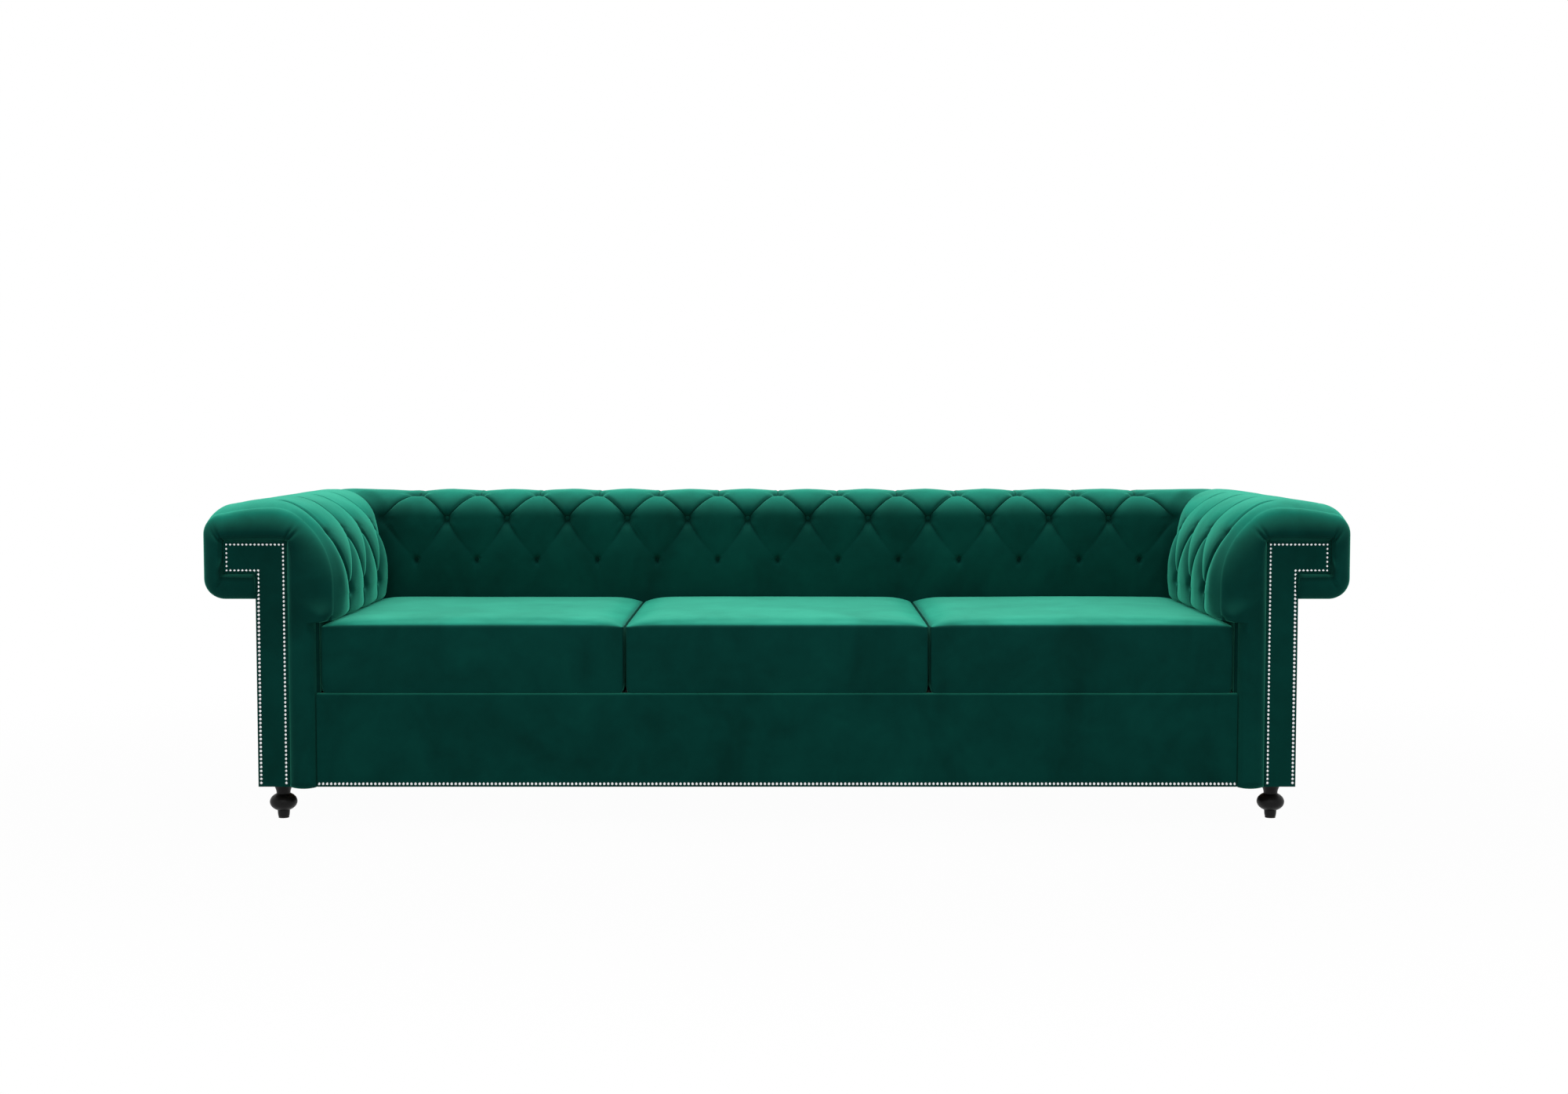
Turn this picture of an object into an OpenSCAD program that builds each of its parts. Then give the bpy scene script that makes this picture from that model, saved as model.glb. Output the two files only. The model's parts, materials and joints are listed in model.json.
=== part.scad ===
// Three-seat tufted sofa with square rolled arms and a back of the same height.
// Millimetres, +Z up, the seat faces -Y. The origin is on the floor at the middle of the sofa's outline.
// Inside the modules Y counts from the front face of the arms, and "out" counts outwards:
// from the inner line of an arm to its outer side, or from the foot of the back to its rear.

/* [Overall] */
// Clear width between the two arms
seat_w = 2000; // [1800:10:2200]
// Depth from the front face to the foot of the back pad
seat_d = 645; // [600:5:700]
// Height of the arms and the back at their crests
top_h = 708; // [695:1:730]
// Height of a foot, from the floor to the frame
foot_h = 84; // [72:1:100]
// Height from the underside of the frame to the seat line
base_h = 201; // [190:1:212]
// How far the covers hang below the frame
hem = 5; // [3:1:8]

/* [Arms and back] */
// Thickness of an arm below its roll
arm_post = 136; // [126:1:150]
// From the inner line of an arm to the outer face of its roll
arm_reach = 250; // [235:1:270]
// Thickness of the back below its roll
back_post = 156; // [140:1:170]
// From the foot of the back to the rear face of its roll
back_reach = 275; // [255:1:295]
// Height of a roll, from its crest to its underside
roll_h = 217; // [205:1:225]
// Radius of the two outer corners of a roll
roll_r = 45; // [35:1:55]
// Width of the rounded nose where a face turns into the top
nose_w = 112; // [95:1:120]
// Fall of the top from the crest to the outer corner
roll_fall = 12; // [6:1:18]

/* [Padding] */
// Thickness of the padding on the inner faces
pad_t = 32; // [30:1:38]
// Thickness of the padding over the top of the frame
crown_t = 46; // [40:1:52]
// Thickness of the padding on the outer face of a roll
roll_pad = 26; // [20:1:30]
// Thickness of the padding under a roll
under_pad = 15; // [12:1:18]
// How far the arm faces swell into the seat
arm_swell = 24; // [10:1:28]
// How far the back face swells into the seat
back_swell = 10; // [5:1:16]
// How far the back leans rearwards between the seat and its upper buttons
back_lean = 8; // [0:1:14]
// How far the pads stand behind their line at the seat
foot_o = 1.5; // [0.5:0.5:4]

/* [Tufts] */
// Spacing of the buttons along the back
back_pitch = 150; // [135:1:165]
// Height of the lower button row of the back above the cushions
back_low = 100; // [85:1:115]
// Height of the middle button row of the back above the cushions
back_high = 203; // [190:1:212]
// Spacing of the buttons along an arm
arm_pitch = 158; // [150:1:165]
// Depth of the first lower button of an arm from the front face
arm_first = 143; // [135:1:150]
// Height of the lower button row of an arm above the cushions
arm_low = 62; // [50:1:80]
// Height of the upper button row of an arm above the cushions
arm_high = 200; // [185:1:210]
// Depth of the folds between the buttons
fold_t = 12; // [6:1:14]
// Extra depth of the pit at a button
pit_t = 12; // [6:1:14]
// Diameter of a button
button_d = 14; // [10:1:18]
// Height of a button
button_h = 6; // [4:0.5:8]
// Diameter of the button twine
twine_d = 2; // [1:0.5:3]
// Length of the twine behind a button
twine_l = 10; // [8:1:18]

/* [Arm fronts] */
// How far the padded border stands out in front of the facing
border_proud = 12; // [6:1:16]
// Fall of the front edge of an arm below its crest
front_fall = 18; // [10:1:24]
// Inner edge of the padded border beside the cushions
border_o = 7; // [6:0.5:12]
// Inner edge of the facing panel
facing_o = 67; // [60:1:76]
// From the crest of the arm to the top edge of the facing
facing_drop = 90; // [80:1:100]
// From the outer face of the roll to the facing
facing_side = 45; // [38:1:52]
// From the underside of the roll to the facing
facing_rise = 56; // [45:1:64]
// Thickness of the facing and the apron, with their velvet
facing_t = 13.7; // [12:0.1:16]

/* [Nail trim] */
// Diameter of a nail head
nail_d = 7; // [6:0.5:8.5]
// Height of a nail head
nail_h = 2.6; // [2:0.1:3.5]
// Spacing of the nails
nail_pitch = 8.8; // [8.6:0.1:12]
// Distance of the nails from the edge of a panel
nail_inset = 7; // [6:0.5:9]
// Length of a nail shank
nail_l = 10; // [6:1:12]
// Diameter of a nail shank
shank_d = 1.6; // [1.2:0.1:2.2]

/* [Frame] */
// Thickness of the plywood formers and foot boards
former_t = 18; // [15:1:21]
// Thickness of the timber rails
rail_t = 25; // [20:1:30]
// Height of the long timber rails of the arms and back
rail_w = 50; // [40:1:60]
// Thickness of the inner lining boards
lining_t = 5; // [4:0.5:7]
// Thickness of the lining and top board of a roll
skin_t = 4; // [3:0.5:5]
// Thickness of the outer panels with their velvet
panel_t = 5.5; // [4:0.5:7]
// Spacing of the stretchers under the seat
stretcher_pitch = 500; // [420:10:560]
// Distance of the inner back formers from the middle
former_x = 372; // [300:1:450]
// Side of a corner block
block_l = 90; // [60:5:120]
// Thickness of the dust cover
dust_t = 1.6; // [1:0.1:2.5]

/* [Seat platform] */
// Thickness of the felt seat deck
deck_t = 15.5; // [12:0.5:18]
// Thickness of a spring wire
wire_d = 4; // [3:0.5:5]
// Spacing of the sinuous springs
spring_pitch = 150; // [120:5:180]
// Width across the bends of a spring
bend_w = 52; // [40:1:60]
// Length of one bend of a spring
bend_l = 40; // [34:1:48]
// Thickness of the clip metal
clip_t = 1.2; // [1:0.1:1.6]
// Length of a spring clip
clip_l = 20; // [16:1:22]
// Width of a spring clip
clip_w = 30; // [24:1:40]

/* [Cushions] */
// Thickness of a seat cushion at its edges
cushion_t = 150; // [135:1:160]
// Rise of a cushion's top towards its middle
crown = 10; // [6:1:14]
// Gap beside each cushion
cushion_gap = 2; // [1.5:0.5:4]
// Set-back of the cushions behind the front face
cushion_back = 1; // [0:1:6]
// Gap behind the cushions
rear_gap = 5.5; // [5:0.5:9]
// Corner radius of a cushion seen from above
corner_r = 18; // [12:1:26]
// How far a cushion's sides are drawn in between its corners
draw_in = 4; // [2:0.5:5]
// Thickness of a cushion's cover and its fibre wrap
wrap_t = 14; // [11:1:18]
// Length of the zip opening
zip_l = 500; // [400:10:560]
// Height of the zip opening
zip_h = 22; // [18:1:28]
// Thickness of the zip tape
tape_t = 2; // [1.5:0.5:3]
// Width of the zip slider
slider_w = 9; // [7:1:12]
// Height of the zip slider's body
slider_h = 12; // [9:1:14]
// Thickness of the zip slider
slider_t = 3; // [2.5:0.1:3.2]

/* [Feet] */
// Distance of the foot axis from the inner line of an arm
foot_x = 96; // [80:1:104]
// Distance of the front foot axis behind the front face
foot_front = 62; // [50:1:80]
// Distance of the rear foot axis in front of the rear panel
foot_rear = 60; // [40:1:66]
// Diameter of the turned ball
ball_d = 60; // [48:1:66]
// Height of the turned ball
ball_h = 42; // [34:1:46]
// Diameter of the toe under the ball
toe_d = 27; // [22:1:34]
// Height of the toe with its glide
toe_h = 15; // [10:1:20]
// Diameter of the neck above the ball
neck_d = 30; // [24:1:36]
// Diameter of the collar against the frame
collar_d = 45; // [38:1:54]
// Thickness of the glide under a foot
glide_t = 3; // [2:0.5:5]
// Diameter of a glide
glide_d = 23; // [18:1:26]
// Diameter of the hanger bolt
bolt_d = 8; // [6:1:10]
// Length of the hanger bolt inside the foot
bolt_in = 36; // [25:1:45]
// How far the hanger bolt stands above the foot board
bolt_out = 10; // [6:1:16]
// Outer diameter of the tee nut's barrel
barrel_d = 11; // [10.5:0.1:14]
// Diameter of the tee nut's flange
flange_d = 22; // [18:1:28]
// Thickness of the tee nut's flange
flange_t = 1.5; // [1:0.1:2.5]
// Diameter of the centre leg
leg_d = 40; // [30:1:50]
// Distance of the centre leg behind the front face
leg_y = 460; // [445:5:520]

/* [Hidden] */

// Clearance between soft pieces and what they lie against
gap = 0.3;
$fn = 48;

velvet = "#1f6b4f";
velvet_dark = "#195a43";
nickel = "#c9ccd0";
steel = "#9aa0a6";
ply_colour = "#d8b98a";
timber = "#c79a63";
foam = "#efe6c8";
felt = "#7d7d7a";
black = "#161616";

half_w = seat_w / 2;
seat_z = foot_h + base_h;
seat_top = seat_z + cushion_t;
cover_z = foot_h - hem;
roll_z = top_h - roll_h;
wood_top = top_h - crown_t;
head_z = roll_z + under_pad;
overall_d = border_proud + seat_d + back_reach;
front_y = border_proud - overall_d / 2;

// Faces of the timber, counted outwards
frame_in = pad_t + gap + lining_t;
arm_out = arm_post - panel_t - 2 * gap;
back_out = back_post - panel_t - 2 * gap;
arm_head = arm_reach - roll_pad - skin_t - gap;
back_head = back_reach - roll_pad - skin_t - gap;
former_front = facing_t + gap;
rear_y = seat_d + frame_in;
rear_former_y = rear_y - rail_t - former_t;

// Mitre between an arm and the back
mitre = back_reach / arm_reach;
mitre_gap = 0.5;

// Heights of the seat platform
clip_h = wire_d + 2 * clip_t + 2 * gap;
rail_top = seat_z - 2 * gap - deck_t - clip_h;
// Stretchers and corner blocks end this far below the top of the rails
under_rail = 4;

// Cushion plan
cushion_w = (seat_w - 4 * cushion_gap) / 3;
cushion_d = seat_d + foot_o - rear_gap - cushion_back;
cushion_pitch = cushion_w + cushion_gap;

// Facing outline, counted outwards and upwards
facing_top = top_h - facing_drop;
facing_out = arm_reach - facing_side;
facing_low = roll_z + facing_rise;

module placed() {
    translate([0, front_y, 0]) children();
}

// Draws its children on the right side, or mirrored on the left one.
module on_side(side) {
    placed() mirror([side < 0 ? 1 : 0, 0, 0]) children();
}

module both_sides() {
    for (side = [-1, 1]) mirror([side < 0 ? 1 : 0, 0, 0]) children();
}

// A box between two corners, in the arm's own measure: outwards, back from the front face, upwards.
module arm_box(from, to) {
    translate([half_w + from[0], from[1], from[2]]) cube(to - from);
}

module box_between(from, to) {
    translate(from) cube(to - from);
}

// A flat outline of [out, up] points made into a board across an arm, from depth y0 to y1.
module arm_board(outline, y0, y1) {
    translate([half_w, y1, 0]) rotate([90, 0, 0]) linear_extrude(y1 - y0) polygon(outline);
}

// The same for a board across the back, from x0 to x1.
module back_board(outline, x0, x1) {
    translate([x0, seat_d, 0]) rotate([90, 0, 90]) linear_extrude(x1 - x0) polygon(outline);
}

// Flag outline of a former: a post with a head that stands out over the outer panel.
function flag(post_out, head_out, low) = [
    [frame_in, low], [post_out, low], [post_out, head_z],
    [head_out, head_z], [head_out, wood_top - skin_t], [frame_in, wood_top - skin_t]
];

// Padded profile of an arm or the back: 17 stations of [out, up] from the seat to the roll's underside.
// Station 3 holds the lower buttons, 5 the upper ones, 7 the third row of the back, and 8 is the crest.
face_turn = 131;
function face_point(z, z_from, z_to, swell, lean) =
    let (t = (z - z_from) / (z_to - z_from))
    [foot_o + lean * t - swell * sin(face_turn * t), z];

function profile(reach, post, swell, lean, low, high, crest) = let (
    z_from = seat_top + 5,
    z_low = seat_top + low,
    z_high = seat_top + high,
    nose_o = foot_o + lean - swell * sin(face_turn),
    corner = reach - roll_r,
    shoulder = crest - roll_fall - roll_r
) concat(
    [[foot_o, seat_z]],
    [for (z = [z_from, (z_from + z_low) / 2, z_low, (z_low + z_high) / 2])
        face_point(z, z_from, z_high, swell, lean)],
    [for (a = [0, 33, 66, 90]) [nose_o + nose_w * (1 - cos(a)), z_high + (crest - z_high) * sin(a)]],
    [[(nose_o + nose_w + corner) / 2, crest - roll_fall / 4]],
    [for (a = [90, 45, 0]) [corner + roll_r * cos(a), shoulder + roll_r * sin(a)]],
    [for (a = [0, -45, -90]) [corner + roll_r * cos(a), roll_z + roll_r + roll_r * sin(a)]],
    [[post + gap, roll_z]]
);

// The inside of the pad, which lies on the lining and the frame.
function pad_inside(reach, post) = [
    [pad_t, seat_z], [pad_t, wood_top + gap], [reach - roll_pad, wood_top + gap],
    [reach - roll_pad, head_z - gap], [post + gap, head_z - gap]
];

// Unit vector from station i into the pad.
function inward(line, i) = let (
    a = line[max(i - 1, 0)],
    b = line[min(i + 1, len(line) - 1)],
    along = b - a
) [along[1], -along[0]] / norm(along);

// Depth of the tufting at place k along a pad, counted in button spacings, and station i.
// Buttons lie at whole k in rows 0 and 2 and at half k in row 1.
// Past the rows the folds run straight and fade.
function lattice(k, row) = sqrt(abs(sin(180 * (k + row / 2)) * sin(180 * (k - row / 2))));
function is_button(k, row) = lattice(k, row) < 0.01 && abs(k + row / 2 - round(k + row / 2)) < 0.01
    && abs(row - round(row)) < 0.01;
function tuft_depth(k, i, rows, fade) = let (
    row = (i - 3) / 2,
    last = 3 + 2 * rows
)
    i <= 2 ? fold_t * (1 - lattice(k, 0)) * 0.35 * i :
    i <= last ? fold_t * (1 - lattice(k, row)) + (is_button(k, row) ? pit_t : 0) :
    fold_t * (1 - lattice(k, rows)) * max(0, (fade - i) / (fade - last));

// Closed cross-section of a pad: the stations, then the inside in reverse.
// The tufting presses in the stations only.
function section(line, inside) = concat(line, [for (i = [len(inside) - 1:-1:0]) inside[i]]);
function pressed(line, depths, i) = i < len(line) ? inward(line, i) * depths[i] : [0, 0];

// Triangles of a closed skin over n rings of m points, with the rings' own end caps.
// Each cap joins the 17 outer stations to the 5 inner points through cap_to.
cap_to = [0, 0, 0, 0, 0, 1, 1, 1, 1, 2, 2, 2, 2, 3, 3, 3, 4];
function inner_index(t) = 21 - t;
function cap_faces() = [
    for (i = [0:15]) each concat(
        [[i, i + 1, inner_index(cap_to[i])]],
        cap_to[i + 1] == cap_to[i] ? [] : [[i + 1, inner_index(cap_to[i + 1]), inner_index(cap_to[i])]]
    )
];
function placed_face(face, base, flip) = [for (t = flip ? [2, 1, 0] : [0, 1, 2]) base + face[t]];
function quad(a, b, c, d) = [[a, b, c], [a, c, d]];
function other_quad(a, b, c, d) = [[a, b, d], [b, c, d]];

// The folds between the buttons rise one way on one half of each diamond and the other way on the next,
// so each cell between two columns is split along its fold.
function fold_rises(k0, k1, i) = (floor(k0 + k1) + floor((i - 3) / 2) + (k1 > k0 ? 0 : 1)) % 2 == 0;

// Stations up to last_fine keep every ring, and the rest of the skin uses every second one.
module pad_skin(columns, rings, last_fine) {
    m = 22;
    n = len(rings);
    fine = [for (j = [0:n - 2], i = [0:last_fine - 1])
        let (a = j * m + i, d = a + m, rises = fold_rises(columns[j], columns[j + 1], i))
        each rises ? quad(a, a + 1, d + 1, d) : other_quad(a, a + 1, d + 1, d)];
    coarse = [for (j = [0:2:n - 3], i = [last_fine + 1:m - 2])
        each quad(j * m + i, j * m + i + 1, (j + 2) * m + i + 1, (j + 2) * m + i)];
    upper_seam = [for (j = [0:2:n - 3]) let (f = last_fine, c = last_fine + 1) each [
        [j * m + f, j * m + c, (j + 1) * m + f],
        [(j + 1) * m + f, j * m + c, (j + 2) * m + c],
        [(j + 1) * m + f, (j + 2) * m + c, (j + 2) * m + f]
    ]];
    lower_seam = [for (j = [0:2:n - 3]) let (f = 0, c = m - 1) each [
        [j * m + c, j * m + f, (j + 1) * m + f],
        [j * m + c, (j + 1) * m + f, (j + 2) * m + c],
        [(j + 2) * m + c, (j + 1) * m + f, (j + 2) * m + f]
    ]];
    start = [for (face = cap_faces()) placed_face(face, 0, true)];
    end = [for (face = cap_faces()) placed_face(face, (n - 1) * m, false)];
    polyhedron(
        points = [for (ring = rings) each ring],
        faces = concat(fine, upper_seam, coarse, lower_seam, start, end),
        convexity = 6
    );
}

back_line = profile(back_reach, back_post, back_swell, back_lean, back_low, back_high, top_h);
arm_line = profile(arm_reach, arm_post, arm_swell, 0, arm_low, arm_high, top_h);
// At the mitre the arm takes the shape of the back, so that the two pads meet.
arm_end_line = [for (p = back_line) [p[0] / mitre, p[1]]];

back_last = floor((half_w - foot_o - 85) / back_pitch);
back_end_k = (half_w - back_swell) / back_pitch;

// Place of a cross-section point: along the pad for columns between the buttons, then stretched to the mitre.
function column_at(k, last, end_k, pitch, end_at) = abs(k) <= last
    ? k * pitch
    : sign(k) * (last * pitch + (end_at - last * pitch) * (abs(k) - last) / (end_k - last));

function back_depths(k) = [for (i = [0:16]) abs(k) > back_last + 0.4 ? 0 : tuft_depth(k, i, 2, 11)];
back_columns = concat([-back_end_k], [for (k = [-back_last - 0.25:0.25:back_last + 0.25]) k], [back_end_k]);
function back_ring(k) = let (
    base = section(back_line, pad_inside(back_reach, back_post)),
    depths = back_depths(k)
) [for (i = [0:21]) let (p = base[i] + pressed(back_line, depths, i)) [
    column_at(k, back_last, back_end_k, back_pitch, half_w + base[i][0] / mitre - mitre_gap),
    seat_d + p[0],
    p[1]
]];

arm_last = floor((seat_d - back_swell - arm_first) / arm_pitch - 0.05);
arm_end_k = (seat_d - back_swell - arm_first) / arm_pitch;

// Columns of an arm run from the mitre to the front. Near the mitre the arm's shape goes over to the back's.
arm_columns = concat(
    [arm_end_k], [for (k = [arm_last:-0.25:-0.5]) k], [(former_front - arm_first) / arm_pitch]
);
arm_plain = arm_last - 0.5;
function past_plain(k) = max(0, k - arm_plain) / (arm_end_k - arm_plain);
function arm_depths(k) = [for (i = [0:16]) k >= arm_end_k || k < -0.7 ? 0 : tuft_depth(k, i, 1, 13)];
function arm_ring(k) = let (
    u = past_plain(k),
    line = [for (i = [0:16]) arm_line[i] * (1 - u) + arm_end_line[i] * u],
    base = section(line, pad_inside(arm_reach, arm_post)),
    depths = arm_depths(k),
    from = arm_first + min(k, arm_plain) * arm_pitch
) [for (i = [0:21]) let (p = base[i] + pressed(line, depths, i), to = seat_d + base[i][0] * mitre - mitre_gap)
    [half_w + p[0], from + (to - from) * u, p[1]]];

// Round head in two cones on a thin stem, with the underside of the head on z = 0.
module domed(head_d, head_h, stem_d, stem_l) {
    cylinder(d1 = head_d, d2 = head_d * 0.8, h = head_h * 0.55);
    translate([0, 0, head_h * 0.55]) cylinder(d1 = head_d * 0.8, d2 = head_d * 0.3, h = head_h * 0.45);
    translate([0, 0, -stem_l]) cylinder(d = stem_d, h = stem_l);
}

// A covered button on its twine.
module button() {
    domed(button_d, button_h, twine_d, twine_l);
}

// A button sits at the bottom of its pit and looks straight out of the pad.
module arm_button(k, i) {
    n = -inward(arm_line, i);
    translate(arm_ring(k)[i]) rotate([0, atan2(n[0], n[1]), 0]) button();
}

module back_button(k, i) {
    n = -inward(back_line, i);
    translate(back_ring(k)[i]) rotate([atan2(-n[0], n[1]), 0, 0]) button();
}

// Padded border round the facing: 17 stations of an outer edge, each with its point on the facing's edge.
border_line = let (
    high = arm_high - front_fall / 2,
    line = profile(arm_reach, arm_post, arm_swell, 0, arm_low, high, top_h - front_fall)
)
    [for (i = [0:16])
        i == 0 ? [border_o, cover_z - gap] :
        i == 1 ? [border_o, seat_top] :
        i == 2 ? [(border_o + line[3][0]) / 2, line[2][1]] :
        line[i]];
border_in = let (
    o0 = facing_o - gap, o1 = facing_out + gap, z0 = facing_low - gap, z1 = facing_top + gap,
    line = border_line
) concat(
    [for (i = [0:4]) [o0, line[i][1]]],
    [[o0, min(line[5][1], z1) - 20], [o0, z1], [(o0 + line[8][0]) / 2, z1]],
    [for (o = [line[8][0], line[9][0], line[10][0] - 10, o1]) [o, z1]],
    [for (t = [2 / 3, 1 / 3, 0]) [o1, z0 + (z1 - z0) * t]],
    [[(o1 + arm_post) / 2, z0], [arm_post + gap, z0]]
);

module border_skin() {
    spans = [0, 0.2, 0.5, 0.8];
    m = 7;
    rings = [for (i = [0:16]) let (a = border_in[i], b = border_line[i]) concat(
        [[a[0], former_front - gap, a[1]]],
        [for (t = spans) let (p = a * (1 - t) + b * t) [p[0], -border_proud * pow(sin(180 * t), 0.7), p[1]]],
        [[b[0], border_proud / 2, b[1]], [b[0], former_front - gap, b[1]]]
    )];
    sides = [for (i = [0:15], j = [0:m - 1]) let (q = (j + 1) % m)
        each quad(i * m + j, i * m + q, (i + 1) * m + q, (i + 1) * m + j)];
    start = [for (j = [1:m - 2]) [0, j + 1, j]];
    end = [for (j = [1:m - 2]) [16 * m, 16 * m + j, 16 * m + j + 1]];
    translate([half_w, 0, 0]) polyhedron(
        points = [for (ring = rings) each ring],
        faces = concat(sides, start, end),
        convexity = 6
    );
}

// Places of the nails from a to b, without b itself.
function nail_row(a, b) = let (n = max(1, round(norm(b - a) / nail_pitch)))
    [for (i = [0:n - 1]) a + (b - a) * i / n];

facing_nail_places = let (
    o0 = facing_o + nail_inset, o1 = facing_out - nail_inset, o2 = arm_post - nail_inset,
    z0 = cover_z + nail_inset + 2, z1 = facing_low + nail_inset, z2 = facing_top - nail_inset
) concat(
    nail_row([o0, z0], [o0, z2]), nail_row([o0, z2], [o1, z2]), nail_row([o1, z2], [o1, z1]),
    nail_row([o1, z1], [o2, z1]), nail_row([o2, z1], [o2, z0]), [[o2, z0]]
);

// Dome-headed nail with its head on y = 0, facing the front.
module nail() {
    rotate([90, 0, 0]) domed(nail_d, nail_h, shank_d, nail_l, $fn = 24);
}

module arm_former(side, y0, y1, low) {
    color(ply_colour) on_side(side) arm_board(flag(arm_out, arm_head, low), y0, y1);
}

// Long rails of one arm: two under the top, two at the roll's underside, one at the seat,
// and the bottom board that the front foot is screwed to.
module arm_rails(side) {
    y0 = former_front + former_t;
    y1 = rear_former_y;
    top = wood_top - skin_t;
    color(timber) on_side(side) {
        arm_box([frame_in, y0, top - rail_w], [frame_in + rail_t, y1, top]);
        arm_box([arm_head - rail_t, y0, top - rail_w], [arm_head, y1, top]);
        arm_box([arm_head - rail_t, y0, head_z], [arm_head, y1, head_z + rail_t]);
        arm_box([arm_out - rail_t, y0, head_z], [arm_out, y1, head_z + rail_w]);
        arm_box([frame_in, y0, rail_top], [frame_in + rail_t, y1, rail_top + rail_w]);
        difference() {
            arm_box([frame_in, y0, foot_h], [arm_out, y1, foot_h + former_t]);
            translate([half_w + foot_x, foot_front, foot_h - 1]) foot_board_hole();
        }
    }
}

// Boards that the arm's padding lies on: the inner face, the top and the outer side of the roll.
module arm_lining(side) {
    y_end = rear_y - gap;
    color(ply_colour) on_side(side) {
        arm_box([pad_t + gap, former_front, rail_top + clip_h], [frame_in, rear_y - rail_t, wood_top]);
        arm_box([frame_in + gap, former_front, wood_top - skin_t], [arm_head - gap, y_end, wood_top]);
        arm_box([arm_head, former_front, head_z], [arm_head + skin_t, seat_d + back_head - gap, wood_top]);
    }
}

module arm_pad(side) {
    color(velvet) on_side(side) pad_skin(arm_columns, [for (k = arm_columns) arm_ring(k)], 12);
}

module arm_border(side) {
    color(velvet_dark) on_side(side) border_skin();
}

module arm_facing(side) {
    outline = [
        [facing_o, cover_z], [arm_post, cover_z], [arm_post, facing_low],
        [facing_out, facing_low], [facing_out, facing_top], [facing_o, facing_top]
    ];
    color(velvet) on_side(side) arm_board(outline, 0, facing_t);
}

module facing_nails(side) {
    color(nickel) on_side(side) for (p = facing_nail_places) translate([half_w + p[0], 0, p[1]]) nail();
}

module arm_buttons(side) {
    color(velvet_dark) on_side(side) {
        for (k = [0:arm_last]) arm_button(k, 3);
        for (k = [-0.5:1:arm_last - 0.5]) arm_button(k, 5);
    }
}

module arm_outer_panel(side) {
    color(velvet) on_side(side) arm_box(
        [arm_out + gap, former_front, cover_z],
        [arm_post - gap, seat_d + back_out, roll_z - gap]
    );
}

// Rails of the back, which lie in notches in the formers.
module back_rail_boxes() {
    top = wood_top - skin_t;
    end_x = half_w + arm_head;
    for (b = [
        [frame_in, top - rail_w, frame_in + rail_t, top, end_x],
        [back_head - rail_t, top - rail_w, back_head, top, end_x],
        [back_head - rail_t, head_z, back_head, head_z + rail_t, end_x],
        [back_out - rail_t, head_z - rail_w, back_out, head_z, half_w + arm_out],
        [frame_in, rail_top, frame_in + rail_t, rail_top + rail_w, half_w + arm_out]
    ]) box_between([-b[4], seat_d + b[0], b[1]], [b[4], seat_d + b[2], b[3]]);
}

// Hole for the tee nut's barrel.
module foot_board_hole() {
    cylinder(d = barrel_d + 2 * gap, h = former_t + 2);
}

module foot_board_boxes() {
    both_sides() arm_box([frame_in, rear_y, foot_h], [arm_out, seat_d + back_out, foot_h + former_t]);
}

module back_rails() {
    color(timber) placed() back_rail_boxes();
}

// Four flag-shaped formers, and a head former at each end for the roll that goes round the corner.
module back_formers() {
    color(ply_colour) placed() difference() {
        union() {
            outline = flag(back_out, back_head, foot_h);
            both_sides() {
                back_board(outline, former_x - former_t / 2, former_x + former_t / 2);
                back_board(outline, half_w + arm_out - former_t, half_w + arm_out);
                arm_box(
                    [arm_head - former_t, rear_y, head_z],
                    [arm_head, seat_d + back_head, wood_top - skin_t]
                );
            }
        }
        back_rail_boxes();
        foot_board_boxes();
    }
}

module back_lining() {
    color(ply_colour) placed() {
        edge = half_w + (pad_t + gap) / mitre - gap;
        end_x = half_w + arm_head - gap;
        box_between([-edge, seat_d + pad_t + gap, rail_top + clip_h], [edge, rear_y, wood_top]);
        box_between([-end_x, rear_y + gap, wood_top - skin_t], [end_x, seat_d + back_head - gap, wood_top]);
        box_between([-end_x, seat_d + back_head, head_z], [end_x, seat_d + back_head + skin_t, wood_top]);
    }
}

module back_pad() {
    color(velvet) placed() pad_skin(back_columns, [for (k = back_columns) back_ring(k)], 9);
}

module back_buttons() {
    color(velvet_dark) placed() {
        for (k = [-back_last:back_last], i = [3, 7]) back_button(k, i);
        for (k = [0.5 - back_last:back_last - 0.5]) back_button(k, 5);
    }
}

module back_outer_panel() {
    edge = half_w + arm_post - gap;
    color(velvet) placed() box_between(
        [-edge, seat_d + back_out + gap, cover_z],
        [edge, seat_d + back_post - gap, roll_z - gap]
    );
}

module front_rail() {
    edge = half_w + frame_in;
    color(timber) placed() box_between(
        [-edge, former_front, foot_h],
        [edge, former_front + rail_t, rail_top]
    );
}

module rear_rail() {
    edge = half_w + arm_out;
    color(timber) placed() box_between([-edge, rear_y - rail_t, foot_h], [edge, rear_y, rail_top]);
}

module side_rails() {
    color(timber) placed() both_sides() arm_box(
        [frame_in - rail_t, former_front + rail_t, foot_h],
        [frame_in, rear_y - rail_t, rail_top]
    );
}

module stretchers() {
    color(timber) placed() for (x = [-1, 0, 1] * stretcher_pitch) box_between(
        [x - rail_t / 2, former_front + rail_t, foot_h + rail_t],
        [x + rail_t / 2, rear_y - rail_t, rail_top - under_rail]
    );
}

// Triangular blocks in the four corners of the base.
module corner_blocks() {
    x = half_w + frame_in - rail_t;
    color(timber) placed() both_sides() {
        translate([x, former_front + rail_t, rail_top - block_l]) linear_extrude(block_l - under_rail)
            polygon([[0, 0], [0, block_l], [-block_l, 0]]);
        translate([x, rear_y - rail_t, rail_top - block_l]) linear_extrude(block_l - under_rail)
            polygon([[0, 0], [0, -block_l], [-block_l, 0]]);
    }
}

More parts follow.
